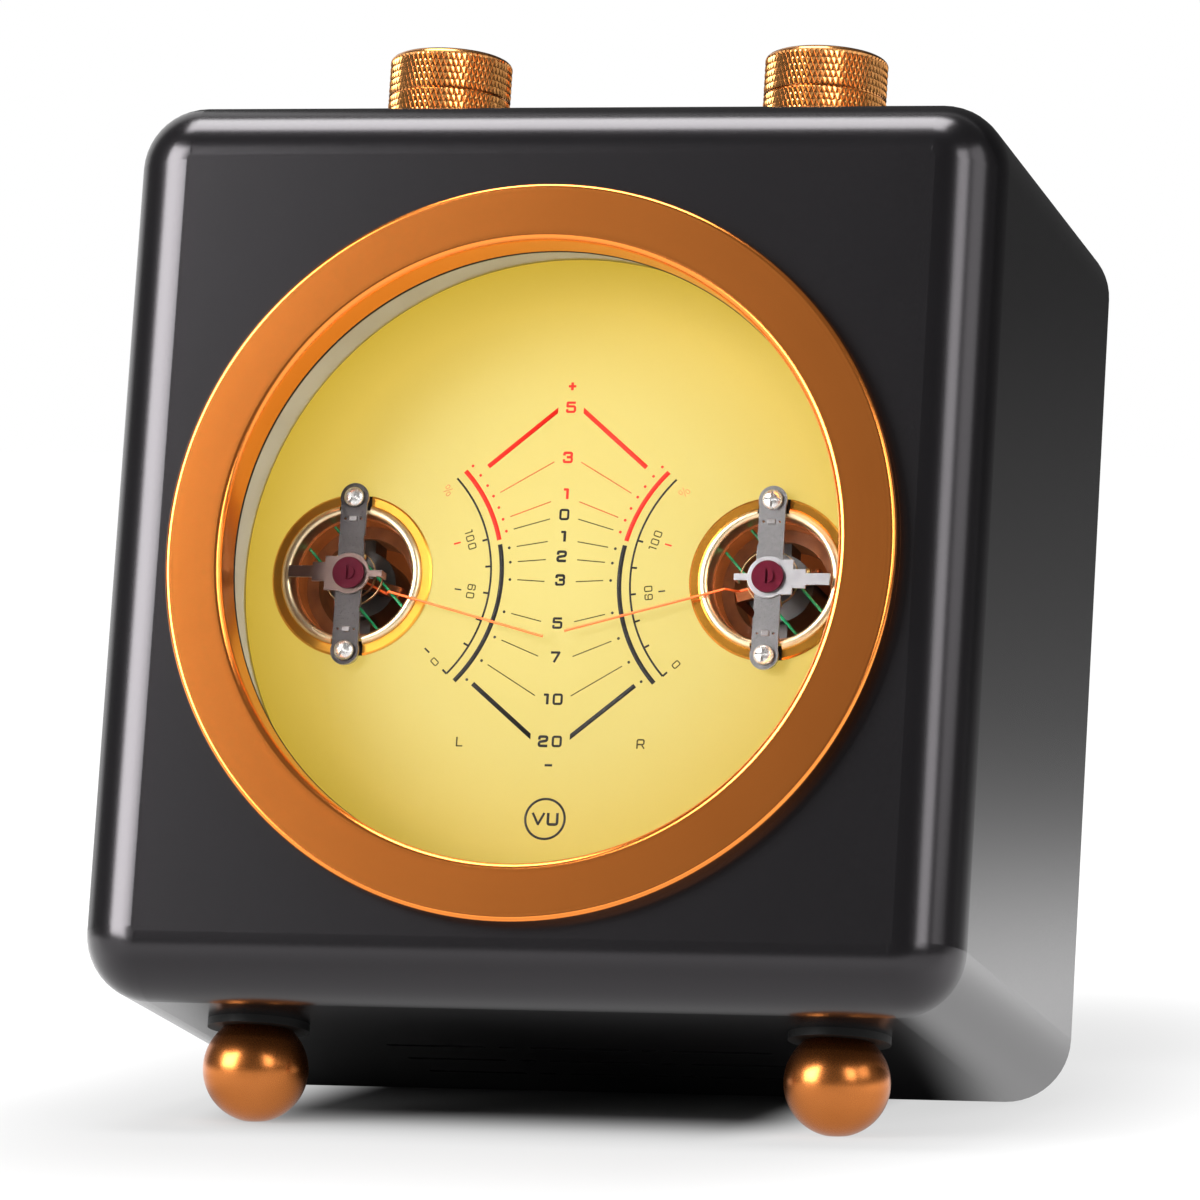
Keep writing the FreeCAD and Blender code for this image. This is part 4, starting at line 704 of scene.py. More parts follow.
# ---------------------------------------------------------------- knobs
@dataclass
class Knob:
    """Diamond-knurled knob with a groove, a round top edge and a recessed underside."""

    side: Side
    radius: float = 8.25
    height: float = 14.38
    top_round: float = 0.85
    top_inset: float = 0.02
    base_chamfer: float = 0.3
    groove_height: float = 8.8
    groove_width: float = 0.35
    groove_depth: float = 0.34
    knurl_columns: int = 140
    knurl_pitch: float = 0.9
    knurl_depth: float = 0.26
    knurl_flat: float = 0.16
    knurl_margin: float = 0.3
    recess_radius: float = 6.7
    recess_height: float = 3.2
    bore_radius: float = 3.02
    bore_top: float = 11.7
    grub_radius: float = 1.52
    grub_height: float = 5.6
    grub_steps: int = 32
    round_steps: int = 5
    recess_margin: float = 0.5
    tolerance: float = 0.01
    crease: float = 14

    @property
    def centre(self) -> Vector:
        """Middle of the knob's underside in the upright frame."""
        across, *seat = KNOB_SEAT
        return Vector((self.side.value * abs(across), *seat))

    @property
    def valley(self) -> float:
        """Radius of the knurl's grooves."""
        return self.radius - self.knurl_depth

    def knurl_rows(self) -> list[float]:
        """Heights of the knurl's rows, measured from the groove both ways."""
        half, count = self.groove_width / 2, round(self.height / self.knurl_pitch)
        low, high = self.base_chamfer, self.height - self.top_round
        rows = sorted(self.groove_height + end * (half + self.knurl_pitch * k)
                      for end in ENDS for k in range(count))
        margin = self.knurl_margin
        return [low, *(row for row in rows if low + margin < row < high - margin), high]

    def outline(self) -> list[Point]:
        """Half section, from the underside's rim over the top to the bore."""
        points = [(self.recess_radius, 0), (self.valley - self.base_chamfer, 0)]
        for row in self.knurl_rows():
            if abs(row - self.groove_height - self.groove_width / 2) < WELD:
                points.append((self.radius - self.groove_depth, self.groove_height))
            points.append((self.valley, row))
        middle = (self.radius - self.top_round - self.top_inset, self.height - self.top_round)
        points += curved(middle, (self.top_round, self.top_round), 0, 90, self.round_steps)[1:]
        return points + [
            (0, self.height), (0, self.bore_top), (self.bore_radius, self.bore_top),
            (self.bore_radius, self.recess_height), (self.recess_radius, self.recess_height)]

    def raise_diamonds(self, knob: Piece) -> None:
        """Push every other lattice point out, so that pyramids stand between slanting grooves."""
        rows, pitch = self.knurl_rows(), 2 * math.pi / self.knurl_columns
        low, high = rows[0] + self.centre.z, rows[-1] + self.centre.z

        def radius(place: Vector) -> float:
            return (place - self.centre).xy.length

        def is_lattice_tip(place: Vector) -> bool:
            arm = place - self.centre
            row = min(range(len(rows)), key=lambda k: abs(rows[k] - arm.z))
            column = round(math.atan2(arm.y, arm.x) / pitch)
            return (abs(radius(place) - self.valley) <= self.tolerance
                    and abs(rows[row] - arm.z) < self.tolerance and (row + column) % 2 == 1)

        with editing(knob):
            pick_vertices(knob, is_lattice_tip)
            swell = self.radius / self.valley
            bpy.ops.transform.resize(value=(swell, swell, 1), center_override=self.centre)
        recess = self.recess_radius + self.recess_margin
        with editing(knob, "FACE"):
            pick_faces(knob, lambda centre, normal: low < centre.z < high
                       and abs(normal.z) < FACING and radius(centre) > recess)
            bpy.ops.mesh.quads_convert_to_tris(quad_method="SHORTEST_DIAGONAL")
        with editing(knob):
            pick_vertices(knob, lambda place: low < place.z < high
                          and abs(radius(place) - self.radius) < self.tolerance)
            bpy.ops.mesh.bevel(offset=self.knurl_flat, offset_type="OFFSET", affect="VERTICES")

    def build(self, case: CaseFrame, palette: Palette) -> None:
        """Turn the knob, knurl it, bore the grub screw's hole and seat it on its shaft."""
        name = f"knob_{self.side.word}"
        knob = turned(f"knurled_{name}", self.outline(), Axis.HEIGHT, self.centre,
                      self.knurl_columns)
        self.raise_diamonds(knob)
        start = self.centre + Vector((0, self.bore_radius / 2, self.grub_height))
        drill = [(0, 0), (self.grub_radius, 0), (self.grub_radius, self.radius), (0, self.radius)]
        carve(knob, turned("grub_drill", drill, Axis.DEPTH, start, self.grub_steps, closed=False))
        smooth(knob, self.crease)
        dress(knob, palette.material(KNOB_COPPER))
        hand_over(knob, case, name, "knob_copper", name)


# ---------------------------------------------------------------- movements
def strap_ends(reach: float) -> list[tuple[Side, Vector]]:
    """List each side with the points at a reach below and above its needle's pivot."""
    return [(side, side.pivot + Vector((0, 0, end * reach))) for side in Side for end in ENDS]


@dataclass
class Eyelet:
    """Brass ring in the dial's hole, with a rolled lip and a notch for each pillar."""

    side: Side
    radius: float = 10.8
    bore: float = 8.2
    rise: float = 0.85
    lip_half: float = 0.62
    lip_rise: float = 0.5
    neck_wall: float = 0.6
    neck_depth: float = 2.2
    face: float = 0.3
    corner: Point = (0.25, 0.15)
    groove_wall: float = 0.12
    groove_drop: float = 0.54
    notch_half: float = 2.1
    notch_depth: float = 5.2
    notch_middle: float = 0.6
    notch_span: Point = (8.55, 11.8)
    rim_margin: float = 0.02
    edge: float = 0.05
    crease: float = 17
    steps: int = 160
    lip_steps: int = 12

    def outline(self) -> list[Point]:
        """Half section of the ring: bore, rolled lip, shallow groove, flat face and neck."""
        top, face = DIAL_FACE - self.rise, DIAL_FACE - self.face
        neck, depth = self.bore + self.neck_wall, DIAL_FACE + self.neck_depth
        lip = (self.bore + self.lip_half, top + self.lip_rise)
        groove = (self.bore + 2 * self.lip_half + self.groove_wall, top + self.groove_drop)
        return [(self.bore, depth),
                *curved(lip, (self.lip_half, -self.lip_rise), 180, 0, self.lip_steps), groove,
                (self.radius - self.corner[0], face), (self.radius, face + self.corner[1]),
                (self.radius, DIAL_FACE), (neck, DIAL_FACE), (neck, depth)]

    def build(self, case: CaseFrame, palette: Palette) -> None:
        """Turn the ring, notch it above and below and press it into the dial."""
        name, centre = f"eyelet_{self.side.word}", self.side.pivot
        ring = turned(f"eyelet_ring_{self.side.word}", self.outline(), Axis.DEPTH, centre,
                      self.steps)
        near, far = self.notch_span
        notch = (2 * self.notch_half, self.notch_depth, far - near)
        for end in ENDS:
            middle = Vector((0, DIAL_FACE + self.notch_middle, end * (near + far) / 2))
            carve(ring, block("notch", centre + middle, notch))
        soften(ring, self.edge)
        smooth(ring, self.crease)
        # each side takes its lit or shaded copy of the brass
        painted_light_brass = BRASS_RIGHT_SHADED if self.side is Side.RIGHT else BRASS_LEFT_LIT
        dress(ring, palette.material(painted_light_brass, centre))
        # the rolled lip takes a painted highlight
        rim = self.bore + 2 * self.lip_half + self.rim_margin
        paint_faces(ring, palette.material(LIP_PAINTED_HIGHLIGHT),
                    lambda middle, _: (middle - centre).xz.length < rim)
        hand_over(ring, case, "case", "eyelet_brass", name)


@dataclass
class TrimPart:
    """A small stamped part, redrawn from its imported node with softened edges."""

    node: str
    body: str
    slot: str
    finish: Finish
    edge: float
    crease: float = 35

    def build(self, case: CaseFrame, palette: Palette) -> None:
        """Copy the node, soften its edges and set it back in its place."""
        part = cad_copy(self.node, case)
        soften(part, self.edge, angle=self.crease)
        smooth(part, self.crease)
        dress(part, palette.material(self.finish))
        # the side faces take a painted highlight
        paint_faces(part, palette.material(EDGE_PAINTED_HIGHLIGHT), lambda _, normal: abs(normal.y) < FACING)
        hand_over(part, case, self.body, self.slot, self.node)


def movement_trim() -> list[TrimPart]:
    """List the visible stamped parts in front of both movements."""
    parts = []
    for side in Side:
        word = side.word
        # the right side takes the lit copies, the left side the shaded ones
        strap, lever = (STRAP_LIT_COPY, LEVER_LIT_COPY) if side is Side.RIGHT else (STRAP_SHADED_COPY, LEVER_SHADED_COPY)
        parts.append(TrimPart(f"bridge_{word}", "case", "strap_steel", strap, 0.08))
        parts.append(TrimPart(f"zero_lever_{word}", f"lever_{word}", "lever_alloy", lever, 0.06))
    return parts


@dataclass
class CrossScrews:
    """The four domed screws of the straps, with two crossed slots in each head."""

    reach: float = 10.2
    seat: float = 13.75
    head_radius: float = 1.32
    rim_height: float = 0.3
    dome_height: float = 0.55
    shank_radius: float = 0.8
    shank_length: float = 4.5
    slot: Triple = (1.96, 0.84, 0.34)
    turns: dict[Side, float] = field(default_factory=lambda: {Side.LEFT: 28.0, Side.RIGHT: 4.0})
    steps: int = 64
    dome_steps: int = 6
    crease: float = 30

    def build(self, case: CaseFrame, palette: Palette) -> None:
        """Turn the screws, sink two crossed slots into each head, join and weld them."""
        rim, foot = self.seat - self.rim_height, self.seat + self.shank_length
        dome = curved((0, rim), (self.head_radius, self.dome_height), -90, 0, self.dome_steps)
        outline = [*dome, (self.head_radius, self.seat), (self.shank_radius, self.seat),
                   (self.shank_radius, foot), (0, foot)]
        screws = []
        for side, centre in strap_ends(self.reach):
            screw = turned("strap_screw", outline, Axis.DEPTH, centre, self.steps, closed=False)
            for turn in (0, 90):
                top = centre + Vector((0, rim - self.dome_height, 0))
                cutter = block("slot", top, self.slot)
                turn = math.radians(self.turns[side] + turn)
                cutter.data.transform(Matrix.Rotation(turn, 4, "Y"))
                carve(screw, cutter)
            screws.append(screw)
        group = joined("strap_screws", screws)
        with editing(group, whole=True):
            bpy.ops.mesh.remove_doubles(threshold=WELD)
        smooth(group, self.crease)
        dress(group, palette.material(CHROME))
        hand_over(group, case, "case", "chrome", "bridge_screws")


@dataclass
class StrapTabs:
    """The four small pads pressed up into the windows of the straps."""

    reach: float = 7.35
    front: float = 13.62
    size: Triple = (1.04, 0.48, 0.64)
    edge: float = 0.08
    crease: float = 40

    def build(self, case: CaseFrame, palette: Palette) -> None:
        """Set one rounded pad in each window and join them."""
        pads = []
        for _, centre in strap_ends(self.reach):
            pad = block("pad", centre + Vector((0, self.front + self.size[1] / 2, 0)), self.size)
            soften(pad, self.edge, segments=3)
            pads.append(pad)
        group = joined("strap_tabs", pads)
        smooth(group, self.crease)
        # a lighter copy of the strap steel: a painted highlight
        dress(group, palette.material(TAB_PAINTED_LIGHT))
        hand_over(group, case, "case", "strap_steel")


@dataclass
class JewelScrews:
    """The two maroon front bearings: a disc with a slotted boss, on a stem through the strap."""

    back: float = 13.39
    thickness: float = 0.45
    radius: float = 2.1
    boss_radius: float = 0.9
    boss_rise: float = 0.25
    stem_radius: float = 0.95
    stem_end: float = 15.1
    slot_width: float = 0.36
    slot_length: float = 1.9
    slot_sink: float = 0.06
    edge: float = 0.07
    steps: int = 96
    crease: float = 40

    def build(self, case: CaseFrame, palette: Palette) -> None:
        """Turn both screws, slot their bosses and join them."""
        front = self.back - self.thickness
        top = front - self.boss_rise
        outline = [(0, top), (self.boss_radius, top), (self.boss_radius, front),
                   (self.radius, front), (self.radius, self.back), (self.stem_radius, self.back),
                   (self.stem_radius, self.stem_end), (0, self.stem_end)]
        slot = (self.slot_width, 2 * (self.boss_rise + self.slot_sink), self.slot_length)
        screws = []
        for side in Side:
            screw = turned("jewel_screw", outline, Axis.DEPTH, side.pivot, self.steps, closed=False)
            carve(screw, block("slot", side.pivot + Vector((0, top, 0)), slot))
            soften(screw, self.edge, segments=3)
            screws.append(screw)
        pair = joined("jewel_pair", screws)
        smooth(pair, self.crease)
        dress(pair, palette.material(JEWEL))
        hand_over(pair, case, "case", "jewel_red", "jewel_screws")


@dataclass
class GasketRing:
    """Soft black ring that bulges a little between the bezel's neck and the lens."""

    front: float = 3.3
    back: float = 4.1
    inner: float = 41.0
    outer: float = 44.4
    bulge: float = 0.36
    steps: int = 192
    bulge_steps: int = 6
    crease: float = 50

    def build(self, case: CaseFrame, palette: Palette) -> None:
        """Turn the ring with its bulged inner side."""
        middle = (self.inner, (self.front + self.back) / 2)
        reach = (self.bulge, (self.back - self.front) / 2)
        outline = [(self.outer, self.back), (self.outer, self.front),
                   *curved(middle, reach, -90, -270, self.bulge_steps)]
        ring = turned("gasket_bulged", outline, Axis.DEPTH, DIAL_CENTRE, self.steps)
        smooth(ring, self.crease)
        dress(ring, palette.material(RUBBER))
        hand_over(ring, case, "case", "rubber", "lens_gasket")


# ---------------------------------------------------------------- dial
@dataclass(frozen=True)
class Stroke:
    """One printed line: its points across and up the dial, and its width."""

    points: tuple[Point, ...]
    width: float
    closed: bool = False


class Lettering:
    """Plain square-shouldered figures drawn with one pen width."""

    SHAPES: dict[str, tuple[float, list[list[Point]]]] = {
        "0": (1.0, [[(0.5, 0), (1, 0), (1, 1), (0, 1), (0, 0), (0.5, 0)]]),
        "1": (0.55, [[(0.1, 0.98), (0.5, 0.98), (0.5, 0)]]),
        "2": (1.0, [[(0.02, 0.74), (0.02, 1), (1, 1), (1, 0.56), (0.0, 0.42), (0.0, 0), (1, 0)]]),
        "3": (1.0, [[(0.02, 0.78), (0.02, 1), (0.97, 1), (0.97, 0.53), (0.42, 0.53)],
                    [(0.42, 0.53), (1, 0.53), (1, 0), (0, 0), (0, 0.24)]]),
        "5": (1.0, [[(0.97, 1), (0.1, 1), (0.04, 1), (0.03, 0.94), (0.0, 0.6), (0.06, 0.6),
                     (1, 0.6), (1, 0), (0, 0), (0, 0.22)]]),
        "6": (1.0, [[(1, 0.78), (1, 1), (0, 1), (0, 0), (1, 0), (1, 0.58), (0.03, 0.58)]]),
        "7": (1.0, [[(0, 1), (1, 1), (0.38, 0)]]),
        "L": (0.8, [[(0, 1), (0, 0), (0.8, 0)]]),
        "R": (1.0, [[(0, 0), (0, 1), (0.96, 1), (0.96, 0.45), (0, 0.45)], [(0.62, 0.45), (1, 0)]]),
        "V": (1.0, [[(0, 1), (0.48, 0), (0.96, 1)]]),
        "U": (0.8, [[(0, 1), (0, 0), (0.8, 0), (0.8, 1)]]),
        "+": (0.8, [[(0, 0.5), (0.8, 0.5)], [(0.4, 0.14), (0.4, 0.86)]]),
        "-": (0.8, [[(0, 0.5), (0.8, 0.5)]]),
        "%": (1.6, [[(0.25, 0.5), (0.5, 0.5), (0.5, 1), (0, 1), (0, 0.5), (0.25, 0.5)],
                    [(1.15, 1), (0.4, 0)],
                    [(1.3, 0), (1.55, 0), (1.55, 0.5), (1.05, 0.5), (1.05, 0), (1.3, 0)]]),
    }
    SHARP = frozenset("17LV+-")
    BEND = 0.2

    def __init__(self, height: float, width: float, pen: float, space: float = 0.42) -> None:
        """Set the size of the figures.

        Args:
            height: height over all.
            width: width over all of a full-width figure.
            pen: width of the line.
            space: clear space between two figures, as a share of their width.
        """
        self.height, self.width, self.pen, self.space = height - pen, width - pen, pen, space

    def write(self, words: str, centre: Point, turn: float = 0.0) -> list[Stroke]:
        """Draw figures centred on a point.

        Args:
            words: the figures.
            centre: middle of the text on the dial.
            turn: how far the text is turned anticlockwise, in degrees.

        Returns:
            The strokes.
        """
        gap = self.space + self.pen / self.width
        widths = [self.SHAPES[letter][0] for letter in words]
        start = -(sum(widths) + gap * (len(words) - 1)) / 2
        strokes = []
        for letter, width in zip(words, widths):
            for shape in self.SHAPES[letter][1]:
                path = [((x + start) * self.width, (y - 0.5) * self.height) for x, y in shape]
                if letter in self.SHARP:
                    lines = list(zip(path, path[1:]))
                else:
                    lines = [rounded(path, self.BEND * self.height)]
                for line in lines:
                    line = [turned_point(point, turn, centre)
                            for point in lengthened(line, self.pen / 4)]
                    strokes.append(Stroke(tuple(line), self.pen))
            start += width + gap
        return strokes


def turned_point(point: Point, degrees: float, centre: Point) -> Point:
    """Turn a point about the origin and move the origin to a centre."""
    c, s = math.cos(math.radians(degrees)), math.sin(math.radians(degrees))
    return (centre[0] + point[0] * c - point[1] * s, centre[1] + point[0] * s + point[1] * c)


def lengthened(points: Sequence[Point], extra: float) -> list[Point]:
    """Make a path a little longer at both of its ends."""
    first, second, last, third = (Vector(points[k]) for k in (0, 1, -1, -2))
    start = first + (first - second).normalized() * extra
    end = last + (last - third).normalized() * extra
    return [(start.x, start.y), *points[1:-1], (end.x, end.y)]


def rounded(points: Sequence[Point], radius: float, steps: int = 5) -> list[Point]:
    """Round the inner corners of an open path.

    Args:
        points: the path's corners.
        radius: how far from a corner its curve starts, at most.
        steps: lines in each curve.

    Returns:
        The path with curved corners.
    """
    path = [points[0]]
    for before, corner, after in zip(points, points[1:], points[2:]):
        a, b, c = Vector(before), Vector(corner), Vector(after)
        reach = min(radius, 0.5 * (a - b).length, 0.5 * (c - b).length)
        start, end = b + (a - b).normalized() * reach, b + (c - b).normalized() * reach
        for step in range(steps + 1):
            share = step / steps
            bent = start * (1 - share) ** 2 + b * 2 * share * (1 - share) + end * share ** 2
            path.append((bent.x, bent.y))
    return [*path, points[-1]]


@dataclass
class DialPrint:
    """Scales, figures and letters printed on the dial.

    Places are millimetres across and up from the dial's middle. Angles are degrees about a
    needle's pivot, measured upwards from the direction of the dial's middle.
    """

    arc_radius: float = 20.15
    arc_width: float = 0.70
    arc_step: float = 1.5
    arc_least: int = 8
    red_arc: Point = (44.4, 14.2)
    black_arc: Point = (12.5, -43.2)
    fine_radius: float = 18.7
    fine_width: float = 0.31
    fine_arc: Point = (44.6, -43.4)
    dot_radius: float = 21.3
    dot_size: float = 0.42
    dot_steps: int = 8
    # black patch in each eyelet's notch: a painted shadow
    pillar_slot: Triple = (2.1, 9.65, 2.2)
    leader_radius: float = 22.3
    leader_width: float = 0.165
    bar_width: float = 0.70
    tick_length: float = 0.77
    proud: float = 0.03
    red_dots: tuple[float, ...] = (44.0, 39.5, 34.9, 30.4, 25.8, 21.2, 16.7)
    black_dots: tuple[float, ...] = (10.6, 5.4, -0.8, -12.4, -21.9, -31.3, -39.7)
    ticks: tuple[float, ...] = (15.6, 4.4, -6.6, -17.9, -29.3, -43.4)
    red_leaders: tuple[tuple[float, Point], ...] = ((30.4, (1.8, 15.4)), (21.2, (1.9, 10.1)))
    black_leaders: tuple[tuple[float, Point], ...] = (
        (16.7, (1.9, 7.8)), (10.6, (2.0, 4.8)), (5.4, (2.1, 2.4)), (-0.8, (2.1, -0.5)),
        (-12.4, (2.2, -5.8)), (-21.9, (2.3, -10.4)), (-31.3, (2.4, -15.6)))
    red_column: tuple[tuple[str, float], ...] = (
        ("+", 25.5), ("5", 22.7), ("3", 16.0), ("1", 11.15))
    black_column: tuple[tuple[str, float], ...] = (
        ("0", 8.4), ("1", 5.5), ("2", 2.85), ("3", -0.3), ("5", -6.0), ("7", -10.5),
        ("10", -16.05), ("20", -21.6), ("-", -24.75))
    small_figures: tuple[tuple[str, Point], ...] = (
        ("100", (12.4, 5.0)), ("60", (11.9, -1.9)), ("0", (16.15, -11.3)))
    percent: Point = (15.85, 11.5)
    channel: Point = (12.1, -21.8)
    red_dash: tuple[Point, Point, float] = ((14.6, 4.35), (13.7, 4.6), 0.24)
    black_dash: tuple[Point, Point, float] = ((14.1, -1.6), (13.2, -1.72), 0.22)
    foot_dash: tuple[Point, Point, float] = ((17.6, -9.5), (16.95, -10.1), 0.26)
    red_bar: tuple[Point, Point, float] = ((10.62, 14.72), (1.0, 22.9), 1.72)
    black_bar: tuple[Point, Point, float] = ((10.85, -14.13), (1.5, -21.95), 2.62)
    figures: Lettering = field(default_factory=lambda: Lettering(1.58, 1.40, 0.36))
    small: Lettering = field(default_factory=lambda: Lettering(1.14, 0.82, 0.18))
    letters: Lettering = field(default_factory=lambda: Lettering(1.34, 1.13, 0.21))
    unit: Lettering = field(default_factory=lambda: Lettering(1.78, 1.90, 0.36, 0.09))
    sign: Lettering = field(default_factory=lambda: Lettering(1.25, 0.84, 0.12))
    unit_height: float = -31.8
    unit_ring: float = 2.62
    unit_steps: int = 60

    def on_arc(self, side: Side, radius: float, degrees: float) -> Point:
        """Point at a radius and an angle about one side's pivot, towards the middle."""
        turn = math.radians(degrees)
        return (side.pivot.x - side.value * radius * math.cos(turn), radius * math.sin(turn))

    def arc(self, side: Side, radius: float, ends: Point, width: float) -> Stroke:
        """Arc about one side's pivot."""
        start, end = ends
        count = max(self.arc_least, round(abs(end - start) / self.arc_step))
        angles = [start + (end - start) * k / count for k in range(count + 1)]
        return Stroke(tuple(self.on_arc(side, radius, a) for a in angles), width)

    def dot(self, side: Side, degrees: float) -> Stroke:
        """Round dot, as a very small closed ring of its own width."""
        middle, reach = self.on_arc(side, self.dot_radius, degrees), self.dot_size / 4
        ring = curved(middle, (reach, reach), 0, 360, self.dot_steps)[:-1]
        return Stroke(tuple(ring), self.dot_size / 2, closed=True)

    def leader(self, side: Side, degrees: float, end: Point) -> Stroke:
        """Fine line from a mark to its figure."""
        start = self.on_arc(side, self.leader_radius, degrees)
        return Stroke((start, (side.value * end[0], end[1])), self.leader_width)

    def small_text(self, side: Side, pen: Lettering, words: str, place: Point) -> list[Stroke]:
        """Small figures on one side, with their feet towards the pivot."""
        lean = math.degrees(math.atan2(place[1], PIVOT_SPACING / 2 - place[0]))
        turn = lean - 90 if side is Side.LEFT else 90 - lean
        return pen.write(words, (side.value * place[0], place[1]), turn)

    def dash(self, side: Side, inner: Point, outer: Point, width: float) -> Stroke:
        """Short bar on one side, given for the right one."""
        return Stroke(tuple((side.value * x, z) for x, z in (inner, outer)), width)

    def red(self) -> list[Stroke]:
        """Strokes in red: the overload part of the scale."""
        strokes = []
        for side in Side:
            strokes.append(self.arc(side, self.arc_radius, self.red_arc, self.arc_width))
            strokes += [self.dot(side, degrees) for degrees in self.red_dots]
            strokes.append(self.dash(side, *self.red_dash))
        for words, height in self.red_column:
            strokes += self.figures.write(words, (0, height))
        return strokes

    def black(self) -> list[Stroke]:
        """Strokes in black: rest of scale, figures, the unit in its ring and painted notch shadows.
        """
        half, height, slot_width = self.pillar_slot
        strokes = []
        for side in Side:
            strokes.append(self.arc(side, self.arc_radius, self.black_arc, self.arc_width))
            strokes.append(self.arc(side, self.fine_radius, self.fine_arc, self.fine_width))
            strokes += [self.dot(side, degrees) for degrees in self.black_dots]
            for degrees in self.ticks:
                tick = [self.on_arc(side, radius, degrees)
                        for radius in (self.fine_radius - self.tick_length, self.fine_radius)]
                strokes.append(Stroke(tuple(tick), self.fine_width))
            strokes.append(self.dash(side, *self.black_dash))
            # painted shadow in the eyelet's notch above and below the pivot
            left, right = side.pivot.x - half, side.pivot.x + half
            strokes += [Stroke(((left, end * height), (right, end * height)), slot_width)
                        for end in ENDS]
        strokes.append(self.dash(Side.LEFT, *self.foot_dash))
        for words, height in self.black_column:
            strokes += self.figures.write(words, (0, height))
        reach = (self.unit_ring, self.unit_ring)
        ring = curved((0, self.unit_height), reach, 0, 360, self.unit_steps)[:-1]
        strokes.append(Stroke(tuple(ring), self.unit.pen, closed=True))
        return strokes + self.unit.write("VU", (0, self.unit_height))

    def olive(self) -> list[Stroke]:
        """Fine strokes in olive: leaders, small figures and the two channel letters."""
        strokes = []
        for side in Side:
            strokes += [self.leader(side, degrees, end) for degrees, end in self.black_leaders]
            for words, place in self.small_figures:
                strokes += self.small_text(side, self.small, words, place)
        across, height = self.channel
        for side in Side:
            strokes += self.letters.write(side.name[0], (side.value * across, height))
        return strokes

    def rust(self) -> list[Stroke]:
        """Fine leaders of the red marks."""
        return [self.leader(side, *leader) for side in Side for leader in self.red_leaders]

    def pale(self) -> list[Stroke]:
        """Per cent signs in pale red."""
        return [stroke for side in Side
                for stroke in self.small_text(side, self.sign, "%", self.percent)]

    def bars(self, start: Point, end: Point, cut: float) -> list[Piece]:
        """Make thick bars from the scale's end to the figure, cut upright near the middle."""
        made = []
        for side in Side:
            bar = print_strokes("bar", [self.dash(side, start, end, self.bar_width)], self.proud)
            with editing(bar, whole=True):
                bpy.ops.mesh.bisect(plane_co=(side.value * cut, 0, 0), plane_no=(side.value, 0, 0),
                                    use_fill=True, clear_inner=True)
            made.append(bar)
        return made

    def build(self, case: CaseFrame, palette: Palette) -> None:
        """Print every colour on the dial."""
        layers = [("print_red", self.red(), INK_RED, self.bars(*self.red_bar)),
                  ("print_black", self.black(), INK_BLACK, self.bars(*self.black_bar)),
                  ("print_olive", self.olive(), INK_OLIVE, []),
                  ("print_rust", self.rust(), INK_RUST, []),
                  ("print_pale", self.pale(), INK_PALE, [])]
        for name, strokes, ink, extra in layers:
            layer = print_strokes(name, strokes, self.proud)
            if extra:
                layer = joined(name, [layer, *extra])
            dress(layer, palette.material(ink))
            hand_over(layer, case, "case", "dial")


def print_strokes(name: str, strokes: Sequence[Stroke], proud: float) -> Piece:
    """Draw strokes as flat bars of ink that lie on the dial's face.

    Args:
        name: name of the layer.
        strokes: its strokes.
        proud: height of the ink as a share of a stroke's width.

    Returns:
        The layer as one mesh in the upright frame.
    """
    deselect()
    curve = bpy.data.curves.new(name, "CURVE")
    curve.dimensions = "3D"
    curve.bevel_depth = 1.0
    curve.bevel_resolution = 1
    curve.use_fill_caps = True
    for stroke in strokes:
        spline = curve.splines.new("POLY")
        spline.points.add(len(stroke.points) - 1)
        for point, (x, z) in zip(spline.points, stroke.points):
            point.co = (x, 0, z, 1)
            point.radius = stroke.width / 2
        spline.use_cyclic_u = stroke.closed
    make_active(placed(name, curve))
    bpy.ops.object.convert(target="MESH")
    layer = bpy.context.object
    with editing(layer, whole=True):
        bpy.ops.transform.resize(value=(1, proud, 1), center_override=(0, 0, 0))
        bpy.ops.transform.translate(value=(0, DIAL_FACE, DIAL_HEIGHT))
    return layer


@dataclass(frozen=True)
class DialPlate:
    """Look of the yellow plate: pale in the middle, deeper to its edge, and lit from behind."""

    radius: float = 42.5
    stops: tuple[tuple[float, Colour], ...] = (
        (0.0, (0.22, 0.18, 0.052)), (0.55, (0.21, 0.165, 0.042)), (0.85, (0.205, 0.145, 0.024)),
        (1.0, (0.17, 0.115, 0.012)))
    base_share: float = 0.5
    specular: float = 0.2
    # painted light: the glow grows towards the upper left, against the shade the bezel casts there
    brighter_way: Triple = (-0.5, 0.0, 0.87)
    brightness: Point = (2.35, 3.35)
    reach: float = 0.04
    grain: float = 0.35
    roughness: Point = (0.45, 0.55)
    bump: float = 0.001

    def material(self, case: CaseFrame) -> bpy.types.Material:
        """Wire up the plate's material.

        Args:
            case: place of the upright frame.

        Returns:
            The node-based material.
        """
        material, tree, shader, place = new_material("dial_yellow")
        centre = case.point(0, DIAL_FACE, DIAL_HEIGHT)
        away = vector_math(tree, "DISTANCE", place, centre)
        share = mapped(tree, away, (0.0, 1.0), (0.0, self.radius * MM))
        dim = [(stop, tuple(self.base_share * level for level in colour))
               for stop, colour in self.stops]
        # painted light: stronger glow towards the upper left
        painted_glow_direction = (case.point(*self.brighter_way) - case.point(0, 0, 0)).normalized()
        arm = vector_math(tree, "SUBTRACT", place, centre)
        height = vector_math(tree, "DOT_PRODUCT", arm, painted_glow_direction)
        grain = noise(tree, place, self.grain)
        feed(tree, shader, {
            "Base Color": ramp(tree, share, dim), "Emission Color": ramp(tree, share, self.stops),
            "Emission Strength": mapped(tree, height, self.brightness, (-self.reach, self.reach)),
            "Specular IOR Level": self.specular,
            "Roughness": mapped(tree, grain, self.roughness, NOISE_SPAN),
            "Normal": bumped(tree, grain, self.bump)})
        return material


